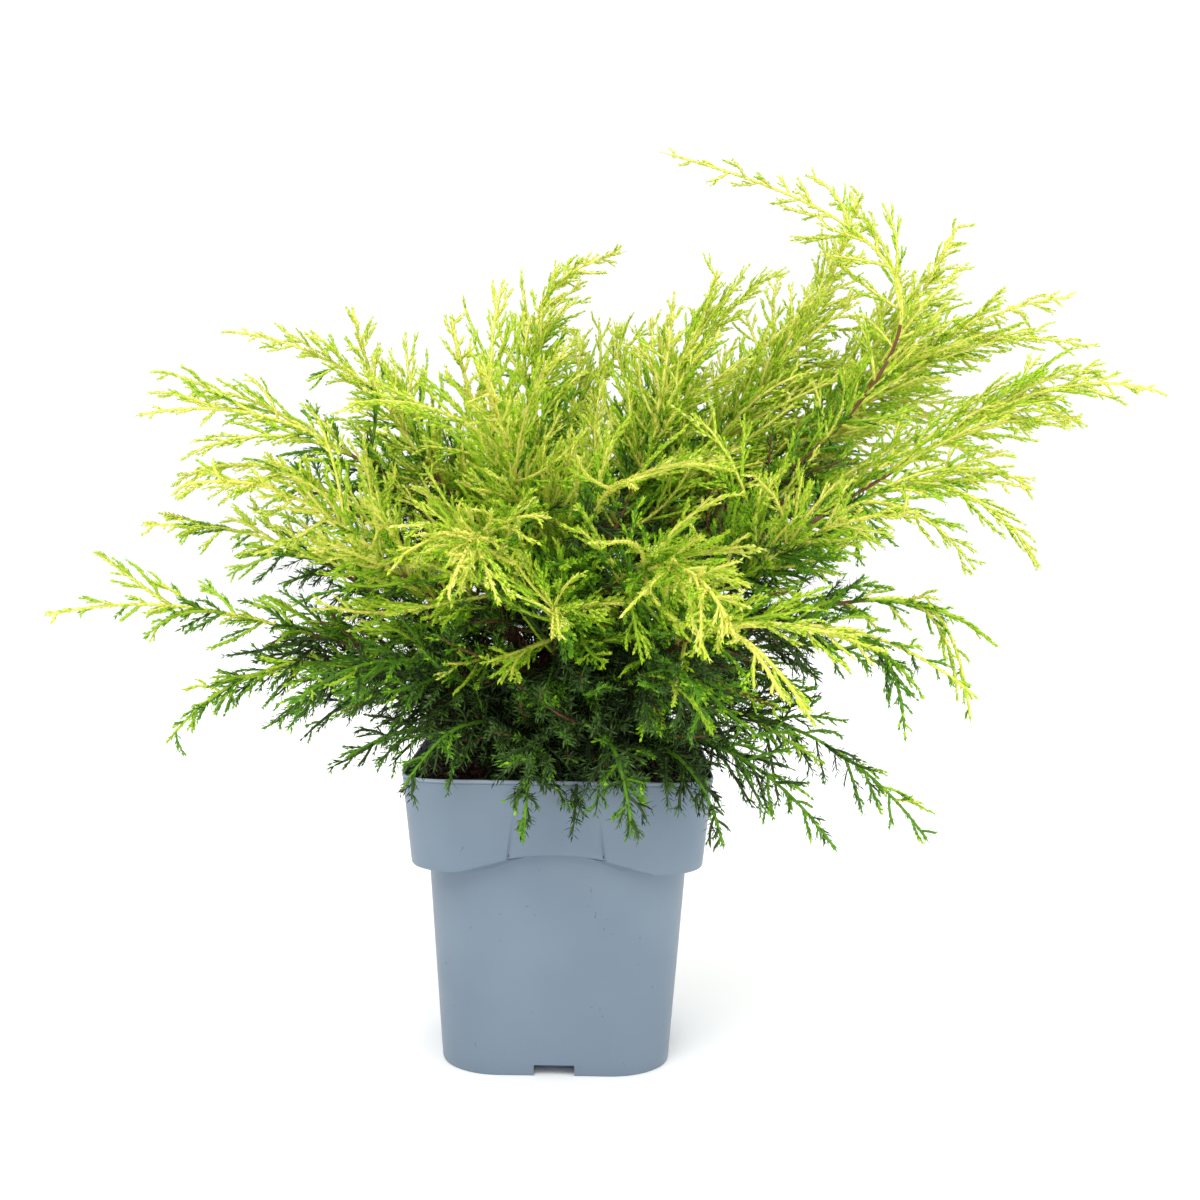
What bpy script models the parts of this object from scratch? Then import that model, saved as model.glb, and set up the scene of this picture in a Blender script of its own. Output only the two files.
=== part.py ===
"""A young golden-tipped juniper shrub standing in a square nursery pot, as plain solids.

Metres, +Z up. The pot's flat underside is at Z = 0 with its centre on the origin. +X is to
the right and +Y away as the shrub is seen from its front. Limbs leave one short trunk, and
each foliage mass is one leader with its side shoots, kept to its own space.
"""

import math
import random
from typing import NamedTuple

import bmesh
import bpy
import numpy as np

# Pot
RIM_HALF = 0.095
RIM_CORNER = 0.026
POT_HEIGHT = 0.1885
COLLAR_HALF = 0.0898
COLLAR_LOW = 0.131
COLLAR_ARCH = 0.011
ARCH_REACH = 0.062
BODY_HALF = 0.0808
BODY_CORNER = 0.040
FOOT_HALF = 0.072
FOOT_CORNER = 0.0375
POT_WALL = 0.0014
POT_FLOOR = 0.0020
NOTCH = (0.0250, 0.0140, 0.0070)  # wide, deep, high
SIDE_STATIONS = (-0.024, -0.0125, 0.0, 0.0125, 0.024)
CORNER_STEPS = 5

# Soil and wood
SOIL_TOP = 0.172
CLEAR = 0.0003
TRUNK_TOP = 0.268
TRUNK_LEAN = 0.012
TRUNK_RADIUS = (0.0082, 0.0060)
FLARE = 0.0050
FLARE_HEIGHT = 0.008
BOUGH_TIP = 0.0019
LEADER_RADIUS = (0.0015, 0.00045)

# Foliage
SEED = 19
GOLDEN_TURN = 137.508
SHORT_LEADER = 0.205
SPRAY_OVER = 0.024  # a side shoot longer than this is a toothed spray, not a plain one
TEETH = (0.12, 0.36, 0.60)  # stations of the teeth along a spray
TOOTH_LEAN = 1.0
NOTCH_SHARE = 0.32
WELD = 0.0000012


class Bough(NamedTuple):
    """One limb from the trunk: where it leaves, and where its tip lies."""

    name: str
    fork: float  # height on the trunk
    azimuth: float  # of its tip, degrees from +X towards +Y
    reach: float  # of its tip from the trunk's foot
    height: float  # of its tip
    rise: float  # degrees above level where it leaves the trunk
    radius: float  # where it leaves the trunk


class Plume(NamedTuple):
    """One leader, from a bough's tip or the trunk to its own tip."""

    name: str
    limb: str  # a bough, or a height on the trunk
    azimuth: float
    reach: float
    height: float
    turn: float  # heading of the tip, degrees on from its azimuth
    droop: float  # rise of the tip, degrees
    bow: float = 0.4  # how far the curve swings out, as a share of its chord
    hold: float = 0.6  # how far it leaves along its limb rather than towards its tip


class Growth(NamedTuple):
    """How side shoots stand on their stem. Length is scale * remaining ** power + least."""

    gap: float
    scale: float
    power: float
    least: float
    most: float
    angle: float
    forward: float  # how far a shoot bends towards its stem's own heading
    flat: bool  # left and right in turn, or round in a spiral


BOUGHS = (
    Bough("west", 0.240, 178, 0.052, 0.302, 38, 0.0030),
    Bough("west_low", 0.216, -160, 0.058, 0.252, 25, 0.0028),
    Bough("north_west", 0.252, 140, 0.048, 0.306, 48, 0.0028),
    Bough("centre_left", 0.254, -150, 0.028, 0.310, 60, 0.0026),
    Bough("centre_right", 0.264, -5, 0.024, 0.318, 62, 0.0026),
    Bough("north", 0.230, 95, 0.050, 0.286, 42, 0.0028),
    Bough("north_east", 0.243, 45, 0.056, 0.312, 45, 0.0030),
    Bough("east", 0.256, 6, 0.090, 0.330, 38, 0.0034),
    Bough("east_low", 0.226, -12, 0.070, 0.285, 35, 0.0028),
    Bough("south_east", 0.208, -45, 0.060, 0.252, 28, 0.0026),
    Bough("south", 0.246, -85, 0.045, 0.292, 42, 0.0026),
    Bough("south_west", 0.230, -122, 0.050, 0.270, 38, 0.0026),
)

PLUMES = (
    Plume("left_high", "west", -176, 0.274, 0.403, 0, -14),
    Plume("left_arch", "west", 180, 0.256, 0.352, 0, -42, 0.42),
    Plume("left_mid", "west_low", 168, 0.301, 0.332, 0, -4),
    Plume("left_long", "west_low", -162, 0.320, 0.282, 0, -14),
    Plume("left_low", "0.202", -171, 0.251, 0.197, 0, -55, 0.42),
    Plume("left_twigs", "0.192", 172, 0.155, 0.214, 0, -30),
    Plume("left_top", "north_west", 158, 0.265, 0.469, 15, 4),
    Plume("left_up", "north_west", 176, 0.140, 0.480, 0, 80),
    Plume("back_left", "north_west", 128, 0.270, 0.400, 0, -10),
    Plume("up_left", "centre_left", -130, 0.104, 0.465, 0, 75),
    Plume("up_mid", "centre_left", 68, 0.108, 0.529, -70, 12, 0.45),
    Plume("up_right", "centre_right", -4, 0.069, 0.483, 0, 84),
    Plume("up_back", "centre_right", 44, 0.145, 0.520, 0, 70),
    Plume("back_mid", "north", 64, 0.166, 0.469, -60, 5, 0.45),
    Plume("back", "north", 95, 0.285, 0.350, 0, -20),
    Plume("back_right", "north_east", 55, 0.290, 0.400, 0, -15),
    Plume("crest", "north_east", 28, 0.323, 0.563, 0, 60, 0.42),
    Plume("crest_left", "north_east", 30, 0.237, 0.581, 0, 75, 0.42),
    Plume("top_arch", "east", 47, 0.083, 0.590, 135, 13, 0.84, 1.0),
    Plume("right_upper", "east", 16, 0.372, 0.502, -6, 4, 0.36),
    Plume("right_long", "east", 7, 0.409, 0.431, 0, -16),
    Plume("right_mid", "east_low", -4, 0.301, 0.365, 0, -14),
    Plume("right_droop", "east_low", -11, 0.261, 0.216, -10, -82, 0.66),
    Plume("right_low", "south_east", -22, 0.269, 0.240, 0, -40, 0.42),
    Plume("front_pale", "south_east", -68, 0.300, 0.262, 0, -40),
    Plume("front_mid", "south", -80, 0.240, 0.362, 0, -10),
    Plume("front_right", "south", -72, 0.290, 0.290, 0, -40, 0.42),
    Plume("front_left", "south_west", -100, 0.270, 0.316, 0, -30, 0.42),
    Plume("front_west", "south_west", -138, 0.270, 0.360, 0, -12),
    Plume("front_rise", "south", -102, 0.200, 0.425, 0, 18),
    Plume("front_east", "east_low", -36, 0.250, 0.352, 0, 2),
    Plume("front_low", "0.220", -90, 0.225, 0.285, 0, -24, 0.42),
    Plume("front_low_right", "0.201", -68, 0.225, 0.234, 0, -35, 0.42),
    Plume("front_low_left", "0.212", -135, 0.210, 0.238, 0, -32, 0.42),
    Plume("low_right", "0.203", -12, 0.238, 0.143, 0, -55, 0.4),
    Plume("low_corner", "0.193", -34, 0.200, 0.151, 0, -50, 0.4),
    Plume("low_back", "0.208", 10, 0.230, 0.240, 0, -30, 0.4),
    Plume("skirt_right", "0.186", -54, 0.165, 0.157, 0, -70, 0.45),
    Plume("skirt_mid", "0.192", -75, 0.170, 0.170, 0, -65, 0.45),
    Plume("skirt_front", "0.186", -96, 0.160, 0.164, 0, -70, 0.45),
    Plume("skirt_west", "0.192", -122, 0.165, 0.188, 0, -45, 0.45),
    Plume("skirt_left", "0.185", -150, 0.150, 0.196, 0, -30),
    Plume("foot_back_left", "0.196", 135, 0.200, 0.215, 0, -40),
    Plume("foot_back", "0.190", 92, 0.200, 0.190, 0, -50),
    Plume("foot_back_right", "0.202", 45, 0.210, 0.200, 0, -45),
)

LEVELS = (
    Growth(0.0075, 1.05, 1.50, 0.010, 0.115, 46, 0.60, False),
    Growth(0.0056, 0.50, 1.23, 0.004, 0.035, 44, 0.50, True),
)
LINE_POINTS = (7, 5)


# Lines
def heading(azimuth, rise):
    """Unit vector of an azimuth and a rise, both in degrees."""
    a, r = math.radians(azimuth), math.radians(rise)
    return np.array([math.cos(a) * math.cos(r), math.sin(a) * math.cos(r), math.sin(r)])


def unit(v):
    return v / np.linalg.norm(v)


def bezier(start, way_out, end, way_in, handle, points):
    """Points of a cubic curve between two places with a heading at each."""
    t = np.linspace(0, 1, points)[:, None]
    a, b = start + way_out * handle, end - way_in * handle
    return (1 - t) ** 3 * start + 3 * (1 - t) ** 2 * t * a + 3 * (1 - t) * t**2 * b + t**3 * end


def tip_place(row):
    a = math.radians(row.azimuth)
    return np.array([row.reach * math.cos(a), row.reach * math.sin(a), row.height])


def trunk_axis(height):
    share = (height - SOIL_TOP) / (TRUNK_TOP - SOIL_TOP)
    return np.array([-TRUNK_LEAN * share * share, 0.0, height])


def trunk_radius(height):
    share = (height - SOIL_TOP) / (TRUNK_TOP - SOIL_TOP)
    flare = FLARE * math.exp(-(height - SOIL_TOP) / FLARE_HEIGHT)
    return TRUNK_RADIUS[0] + (TRUNK_RADIUS[1] - TRUNK_RADIUS[0]) * share + flare


def bough_line(b):
    start, end = trunk_axis(b.fork), tip_place(b)
    chord = end - start
    flat = math.degrees(math.atan2(chord[2], math.hypot(chord[0], chord[1])))
    way_in = heading(b.azimuth, 2 * flat - b.rise)
    return bezier(start, heading(b.azimuth, b.rise), end, way_in, 0.36 * np.linalg.norm(chord), 7)


def leader_line(p, limbs, rank):
    """The leader of a plume. The first on a bough goes on from its tip, others start beside it."""
    end = tip_place(p)
    if p.limb in limbs:
        limb = limbs[p.limb]
        at, limb_way = along(limb, measure(limb) - 0.0045 * rank)
        way = unit(limb_way * p.hold + unit(end - at) * (1 - p.hold))
        start = at - limb_way * 0.0008
        if rank:
            side = unit(end - at - limb_way * np.dot(end - at, limb_way))
            way = unit(way + side * 0.5)
            start = at + side * BOUGH_TIP * 0.5
    else:
        height, way = float(p.limb), heading(p.azimuth, 25)
        start = trunk_axis(height) + heading(p.azimuth, 0) * trunk_radius(height) * 0.7
    reach = np.linalg.norm(end - start)
    return bezier(start, way, end, heading(p.azimuth + p.turn, p.droop), p.bow * reach, 33)


def measure(line):
    return float(np.linalg.norm(np.diff(line, axis=0), axis=1).sum())


def along(line, distance):
    """Place and heading at a distance from the start of a line."""
    step = np.diff(line, axis=0)
    length = np.linalg.norm(step, axis=1)
    ends = np.concatenate([[0], np.cumsum(length)])
    k = min(int(np.searchsorted(ends, distance, side="right")) - 1, len(step) - 1)
    return line[k] + step[k] * (distance - ends[k]) / length[k], step[k] / length[k]


def shares_of(line, shares):
    total = measure(line)
    return np.array([along(line, total * s)[0] for s in shares])


def side_shoots(line, level, seed, plane=None):
    """Side shoots of one stem, from its root to its tip, in a spiral or in one plane."""
    rule, rng = LEVELS[level], random.Random(seed)
    total, found = measure(line), []
    s, turn = rule.gap * rng.uniform(0.8, 1.4), rng.uniform(0, 360)
    while s < total - rule.least * 0.6:
        point, way = along(line, s)
        length = rule.scale * (total - s) ** rule.power + rule.least
        length = min(length, rule.most) * rng.uniform(0.7, 1.2)
        spin = math.radians(turn + rng.uniform(-25, 25))
        level_way = unit(np.cross(way, (0.02, 0.01, 1.0)) if plane is None else plane)
        across = level_way * math.cos(spin) + np.cross(level_way, way) * math.sin(spin)
        angle = math.radians(rule.angle * rng.uniform(0.8, 1.2))
        out = way * math.cos(angle) + across * math.sin(angle)
        end_way = unit(out * (1 - rule.forward) + way * rule.forward + np.array([0, 0, 0.10]))
        end = point + unit(out + end_way) * length * 0.98
        found.append(bezier(point, out, end, end_way, length * 0.33, LINE_POINTS[level]))
        s += rule.gap * rng.uniform(0.8, 1.2)
        turn += 180 if rule.flat else GOLDEN_TURN
    return found


# Room for each mass
class Space:
    """Which leader each place belongs to, and what else stands near it."""

    def __init__(self, leaders, stems):
        self.points = np.concatenate(leaders)
        self.owner = np.concatenate([np.full(len(a), i) for i, a in enumerate(leaders)])
        self.stem_points = np.concatenate([line for line, _ in stems])
        self.stem_radii = np.concatenate([radii for _, radii in stems])

    def fits(self, own, points, half):
        """Whether a shape this thick about the points stays in its mass's own space."""
        far = np.linalg.norm(points[:, None] - self.points[None], axis=2)
        mine = far[:, self.owner == own].min(axis=1)
        other = far[:, self.owner != own].min(axis=1)
        if ((other - mine) / 2 < half + 0.0003).any() or in_pot(points, half + 0.0006).any():
            return False
        near = np.linalg.norm(points[:, None] - self.stem_points[None], axis=2) - self.stem_radii
        return bool((near > half + 0.0006).all())


def in_pot(points, clear):
    """True where a place is in the soil or the pot's wall, or too near to either."""
    side = np.abs(points[:, :2]).max(axis=1)
    wall = (side > RIM_HALF - 0.0035 - clear) & (side < RIM_HALF + clear)
    soil = (side <= RIM_HALF) & (points[:, 2] < SOIL_TOP + clear)
    return (points[:, 2] < POT_HEIGHT + clear) & (wall | soil)


# Solids
def add(name, points, faces, material):
    """A mesh object with its faces turned outwards."""
    mesh = bpy.data.meshes.new(name)
    mesh.from_pydata([tuple(float(c) for c in p) for p in points], [], faces)
    work = bmesh.new()
    work.from_mesh(mesh)
    bmesh.ops.recalc_face_normals(work, faces=work.faces)
    work.to_mesh(mesh)
    work.free()
    mesh.materials.append(material)
    obj = bpy.data.objects.new(name, mesh)
    bpy.context.scene.collection.objects.link(obj)
    return obj


def skin(rings, cap_start=True, cap_end=True):
    """Faces between rings with the same number of points each."""
    count, faces = len(rings[0]), []
    for r in range(len(rings) - 1):
        for i in range(count):
            j = (i + 1) % count
            a, b = r * count, (r + 1) * count
            faces.append((a + i, a + j, b + j, b + i))
    if cap_start:
        faces.append(tuple(range(count))[::-1])
    if cap_end:
        faces.append(tuple(range((len(rings) - 1) * count, len(rings) * count)))
    return [p for ring in rings for p in ring], faces


def tube(name, line, radii, sides, material, pointed=False):
    """A limb of the given radii along a line. A pointed one ends in one vertex."""
    ways = np.gradient(line, axis=0)
    first = unit(np.cross(ways[0], (0.3, 0.2, 1.0)))
    rings = []
    for point, way, radius in zip(line, ways, radii):
        first = unit(first - unit(way) * np.dot(first, unit(way)))
        second = np.cross(unit(way), first)
        turns = [2 * math.pi * k / sides for k in range(sides)]
        rings.append([point + (first * math.cos(a) + second * math.sin(a)) * radius for a in turns])
    if not pointed:
        return add(name, *skin(rings), material)
    points, faces = skin(rings[:-1], cap_end=False)
    tip, last = len(points), (len(rings) - 2) * sides
    faces += [(last + i, last + (i + 1) % sides, tip) for i in range(sides)]
    return add(name, [*points, line[-1]], faces, material)


def flat_spray(name, outline, root, tip, middle, normal, thick, material):
    """A flat spray from a closed outline: root first, with a ridge point on either face."""
    count = len(outline)
    points = [*outline, middle + normal * thick, middle - normal * thick]
    ring = [(i, (i + 1) % count) for i in range(count)]
    faces = [(i, j, count) for i, j in ring] + [(j, i, count + 1) for i, j in ring]
    return add(name, points, faces, material)


def block(name, low, high):
    corners = [(x, y, z) for x in (low[0], high[0]) for y in (low[1], high[1]) for z in (low[2], high[2])]
    faces = [(0, 1, 3, 2), (4, 6, 7, 5), (0, 4, 5, 1), (2, 3, 7, 6), (0, 2, 6, 4), (1, 5, 7, 3)]
    return add(name, corners, faces, None)


def combine(obj, others, operation):
    """One Boolean of an object with a collection of others, applied, and the others removed."""
    group = bpy.data.collections.new(obj.name + "_tools")
    bpy.context.scene.collection.children.link(group)
    for other in others:
        bpy.context.scene.collection.objects.unlink(other)
        group.objects.link(other)
    step = obj.modifiers.new(operation.lower(), "BOOLEAN")
    step.operation, step.operand_type, step.collection = operation, "COLLECTION", group
    step.solver = "EXACT"
    bpy.context.view_layer.update()
    graph = bpy.context.evaluated_depsgraph_get()
    mesh = bpy.data.meshes.new_from_object(obj.evaluated_get(graph))
    obj.modifiers.remove(step)
    obj.data = mesh
    for other in others:
        bpy.data.objects.remove(other)
    bpy.data.collections.remove(group)
    keep_outer_body(obj)


def keep_outer_body(obj):
    """Drops sealed hollows and loose scrap, so one outward body is left."""
    work = bmesh.new()
    work.from_mesh(obj.data)
    bmesh.ops.remove_doubles(work, verts=work.verts, dist=WELD)
    bmesh.ops.triangulate(work, faces=work.faces)
    left, bodies = set(work.faces), []
    while left:
        body, edge = [], [left.pop()]
        while edge:
            face = edge.pop()
            body.append(face)
            for side in face.edges:
                for other in side.link_faces if len(side.link_faces) == 2 else ():
                    if other in left:
                        left.remove(other)
                        edge.append(other)
        volume = sum(f.verts[0].co.dot(f.verts[1].co.cross(f.verts[2].co)) for f in body) / 6
        bodies.append((volume, body))
    bodies.sort(key=lambda b: -b[0])
    for _, body in bodies[1:]:
        bmesh.ops.delete(work, geom=body, context="FACES")
    for face in work.faces:
        face.material_index = 0
    bmesh.ops.delete(work, geom=[v for v in work.verts if not v.link_faces], context="VERTS")
    work.to_mesh(obj.data)
    work.free()


def smooth(obj, degrees=35):
    obj.data.shade_smooth()
    obj.data.set_sharp_from_angle(angle=math.radians(degrees))


def make_material(name, colour, roughness):
    material = bpy.data.materials.new(name)
    material.use_nodes = True
    shader = material.node_tree.nodes["Principled BSDF"]
    shader.inputs["Base Color"].default_value = (*colour, 1)
    shader.inputs["Roughness"].default_value = roughness
    return material


# Pot and soil
def square_ring(half, corner, height):
    """A rounded square. The height is a number, or a function of the place along a side."""
    ring = []
    for side in range(4):
        c, s = math.cos(side * math.pi / 2), math.sin(side * math.pi / 2)
        local = [(u, -half) for u in SIDE_STATIONS]
        for k in range(CORNER_STEPS + 1):
            a = math.pi / 2 * k / CORNER_STEPS
            local.append((half - corner + corner * math.sin(a), corner - half - corner * math.cos(a)))
        for u, v in local:
            z = height(u if u < half - corner else half) if callable(height) else height
            ring.append((u * c - v * s, u * s + v * c, z))
    return ring


def arch(raised):
    """Height of the collar's lower edge along a side, with this much added."""
    return lambda u: COLLAR_LOW + raised + COLLAR_ARCH * max(0.0, 1 - (u / ARCH_REACH) ** 2)


def side_blocks(name, wide, low, high, inner, outer):
    """Four blocks, one at the middle of each side."""
    found = []
    for k, (x, y) in enumerate(((0, -1), (1, 0), (0, 1), (-1, 0))):
        a = np.array([x * inner, y * inner])
        b = np.array([x * outer, y * outer])
        half = np.array([abs(y), abs(x)]) * wide / 2
        lows, highs = np.minimum(a, b) - half, np.maximum(a, b) + half
        found.append(block(f"{name}_{k}", (*lows, low), (*highs, high)))
    return found


def make_pot(material):
    wide, deep, high = NOTCH
    outer = [
        square_ring(FOOT_HALF - 0.0012, FOOT_CORNER - 0.0012, 0.0),
        square_ring(FOOT_HALF, FOOT_CORNER, 0.0014),
        square_ring(BODY_HALF, BODY_CORNER, arch(0.0)),
        square_ring(COLLAR_HALF - 0.0008, RIM_CORNER + 0.004, arch(0.0)),
        square_ring(COLLAR_HALF, RIM_CORNER + 0.004, arch(0.001)),
        square_ring(RIM_HALF, RIM_CORNER, POT_HEIGHT - 0.0006),
        square_ring(RIM_HALF - 0.0005, RIM_CORNER - 0.0005, POT_HEIGHT),
    ]
    inner = [
        square_ring(RIM_HALF - POT_WALL, RIM_CORNER - POT_WALL, POT_HEIGHT),
        square_ring(COLLAR_HALF - POT_WALL, RIM_CORNER + 0.0026, arch(POT_WALL)),
        square_ring(BODY_HALF - POT_WALL, BODY_CORNER - POT_WALL, arch(POT_WALL)),
        square_ring(FOOT_HALF - POT_WALL, FOOT_CORNER - POT_WALL, POT_FLOOR),
    ]
    pot = add("pot", *skin(outer + inner), material)
    skins = side_blocks("dent", wide + 2 * POT_WALL, 0.001, high + POT_WALL,
                        FOOT_HALF - deep - POT_WALL, FOOT_HALF - 0.0006)
    combine(pot, skins, "UNION")
    combine(pot, side_blocks("notch", wide, -0.01, high, FOOT_HALF - deep, FOOT_HALF + 0.02), "DIFFERENCE")
    smooth(pot)


def make_soil(material):
    wide, deep, high = NOTCH
    inset = POT_WALL + CLEAR
    collar = COLLAR_LOW + COLLAR_ARCH + POT_WALL
    share = (SOIL_TOP - collar) / (POT_HEIGHT - collar)
    top = COLLAR_HALF + (RIM_HALF - COLLAR_HALF) * share
    rings = [
        square_ring(FOOT_HALF - inset, FOOT_CORNER - inset, POT_FLOOR + CLEAR),
        square_ring(BODY_HALF - inset, BODY_CORNER - inset, arch(inset)),
        square_ring(COLLAR_HALF - inset, RIM_CORNER + 0.0023, arch(inset)),
        square_ring(top - inset, RIM_CORNER, SOIL_TOP),
    ]
    soil = add("soil", *skin(rings), material)
    cuts = side_blocks("gap", wide + 2 * (POT_WALL + CLEAR), -0.01, high + POT_WALL + CLEAR,
                       FOOT_HALF - deep - POT_WALL - CLEAR, FOOT_HALF + 0.02)
    combine(soil, cuts, "DIFFERENCE")
    smooth(soil)


# Trunk and boughs
def trunk_solid(name, grown, material):
    """The trunk from its flat cut at soil level, thicker by the given clearance."""
    heights = [SOIL_TOP + CLEAR, 0.176, 0.181, 0.190, 0.205, 0.222, 0.240, 0.256, TRUNK_TOP]
    rings = []
    for height in heights:
        centre, radius = trunk_axis(height), trunk_radius(height) + grown
        lobes = 0.12 * math.exp(-(height - SOIL_TOP) / 0.010)
        rings.append([
            centre + heading(36 * k, 0) * radius * (1 + lobes * math.cos(math.radians(108 * k)))
            for k in range(10)
        ])
    top = trunk_axis(TRUNK_TOP + 0.002)
    rings.append([top + heading(36 * k, 0) * (0.0042 + grown) for k in range(10)])
    if grown:
        rings[0] = [p - np.array([0, 0, 0.002]) for p in rings[0]]
        rings[-1] = [p + np.array([0, 0, grown]) for p in rings[-1]]
    return add(name, *skin(rings), material)


def bough_radii(b, count):
    return b.radius + (BOUGH_TIP - b.radius) * np.linspace(0, 1, count)


def limb_cutter(plume, limbs):
    """A copy of the limb that a plume stands on, thicker and longer by the clearance."""
    for b in BOUGHS:
        if b.name == plume.limb:
            line = limbs[b.name]
            line = np.concatenate([line, [line[-1] + unit(line[-1] - line[-2]) * CLEAR]])
            radii = bough_radii(b, len(line) - 1) + CLEAR / math.cos(math.pi / 6)
            return tube("limb_cutter", line, [*radii, radii[-1]], 6, None)
    return trunk_solid("limb_cutter", CLEAR, None)


def make_wood(limbs, bark):
    smooth(trunk_solid("trunk", 0.0, bark), 50)
    for b in BOUGHS:
        line = limbs[b.name]
        bough = tube("bough_" + b.name, line, bough_radii(b, len(line)), 6, bark)
        combine(bough, [trunk_solid("trunk_cutter", CLEAR, bark)], "DIFFERENCE")
        smooth(bough, 50)


# Foliage
def onto(line, point):
    """The place on a line that is nearest to a point."""
    a, b = line[:-1], line[1:]
    t = np.einsum("ij,ij->i", point - a, b - a) / np.einsum("ij,ij->i", b - a, b - a)
    near = a + (b - a) * np.clip(t, 0, 1)[:, None]
    return near[np.linalg.norm(near - point, axis=1).argmin()]


def spray_outline(spine, across, teeth):
    """Outline of a toothed spray along a spine, and whether each of its points is a tooth."""
    length = measure(spine)
    left, right, rule = [], [], LEVELS[1]
    for number, station in enumerate(teeth):
        place, way = along(spine, length * station)
        reach = rule.scale * (length * (1 - station)) ** rule.power + rule.least
        reach *= 1.0 if number % 2 else 0.9
        if number:
            between, _ = along(spine, length * (station + 0.02))
            half = NOTCH_SHARE * reach + 0.0006
            left.append((between, between + across * half))
            right.append((between, between - across * half))
        for side, sign in ((left, 1), (right, -1)):
            out = unit(way * TOOTH_LEAN + across * sign)
            side.append((place, place + out * reach * (1.0 if sign > 0 else 0.88)))
    return left, right


def fitted_spray(space, own, shoot, stem, stem_way, material):
    """A side shoot as one flat toothed spray, each tooth drawn in to its mass's space."""
    root = onto(stem, shoot[0])
    for share in (1.0, 0.8, 0.6, 0.4):
        spine = shares_of(shoot, np.linspace(0, share, 6)) + (root - shoot[0])
        length = measure(spine)
        if length < 0.006:
            return []
        if space.fits(own, shares_of(spine, np.linspace(0.12, 1, 22)), 0.0008):
            break
    else:
        return []
    first = unit(spine[1] - spine[0])
    across = unit(stem_way - first * np.dot(stem_way, first))
    normal = np.cross(first, across)
    teeth = TEETH if length > SPRAY_OVER else ()
    left, right = spray_outline(spine, across, teeth)
    if not teeth:
        middle, _ = along(spine, length * 0.45)
        half = max(0.0013, length * 0.15)
        left, right = [(middle, middle + across * half)], [(middle, middle - across * half)]
    sides = []
    for side in (left, right):
        drawn = []
        for place, point in side:
            for share in (1.0, 0.75, 0.5, 0.3):
                edge = place + (point - place) * share
                if space.fits(own, place + (edge - place) * np.linspace(0.3, 1, 7)[:, None], 0.0006):
                    break
            drawn.append(edge)
        sides.append(drawn)
    middle, _ = along(spine, length * 0.38)
    outline = [spine[0], *sides[0], spine[-1], *sides[1][::-1]]
    thick = max(0.0004, 0.006 * length)
    return [flat_spray("spray", outline, root, spine[-1], middle, normal, thick, material)]


def make_mass(space, own, plume, line, limbs, material):
    """One foliage mass: the leader with every second or third side shoot, joined into one body."""
    shape = shares_of(line, (0, 0.12, 0.26, 0.40, 0.54, 0.68, 0.84, 1.0))
    radii = np.linspace(*LEADER_RADIUS, len(shape))
    mass = tube("foliage_" + plume.name, shape, radii, 3, material, pointed=True)
    parts = []
    step = 3 if measure(line) > SHORT_LEADER else 2
    for shoot in side_shoots(line, 0, SEED + 1000 * own)[::step]:
        way = unit(onto(line, shoot[0] + unit(line[-1] - line[0]) * 0.004) - shoot[0])
        parts += fitted_spray(space, own, shoot, shape, way, material)
    combine(mass, parts, "UNION")
    combine(mass, [limb_cutter(plume, limbs)], "DIFFERENCE")
    smooth(mass, 40)
    return mass


def main():
    for obj in list(bpy.data.objects):
        bpy.data.objects.remove(obj)
    make_pot(make_material("grey_plastic", (0.245, 0.319, 0.402), 0.45))
    make_soil(make_material("moist_peat", (0.040, 0.022, 0.014), 0.95))
    bark = make_material("bark", (0.150, 0.075, 0.048), 0.85)
    limbs = {b.name: bough_line(b) for b in BOUGHS}
    make_wood(limbs, bark)
    used, leaders = {}, []
    for p in PLUMES:
        rank = used.get(p.limb, 0) if p.limb in limbs else 0
        used[p.limb] = rank + 1
        leaders.append(leader_line(p, limbs, rank))
    heights = np.linspace(SOIL_TOP, TRUNK_TOP + 0.002, 33)
    stems = [(np.array([trunk_axis(h) for h in heights]), np.array([trunk_radius(h) for h in heights]))]
    for b in BOUGHS:
        line = shares_of(limbs[b.name], np.linspace(0, 1, 25))
        stems.append((line, bough_radii(b, 25)))
    space = Space(leaders, stems)
    for own, (p, line) in enumerate(zip(PLUMES, leaders)):
        height = min(1.0, max(0.0, (p.height - 0.16) / 0.34))
        colour = (0.10 + 0.38 * height, 0.20 + 0.26 * height, 0.03 + 0.02 * height)
        make_mass(space, own, p, line, limbs, make_material("foliage_" + p.name, colour, 0.6))


if __name__ == "__main__":
    main()
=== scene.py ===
"""Looks of a young golden juniper in its square nursery pot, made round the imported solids.

Metres, +Z up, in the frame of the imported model: the pot's flat underside is at Z = 0 with its
centre on the origin, and -Y is the shrub's front. The limbs and leaders run along the same lines
as in the solids. Their side shoots, twigs, twiglets and leaves are grown here by a seeded rule of
the same kind as the solids' sprays, each mass in and close about its own space.
"""

import itertools
import logging
import math
import random
from dataclasses import dataclass, field, replace
from enum import Enum

import bmesh
import bpy
import numpy as np
from mathutils import Matrix, Vector, noise


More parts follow.
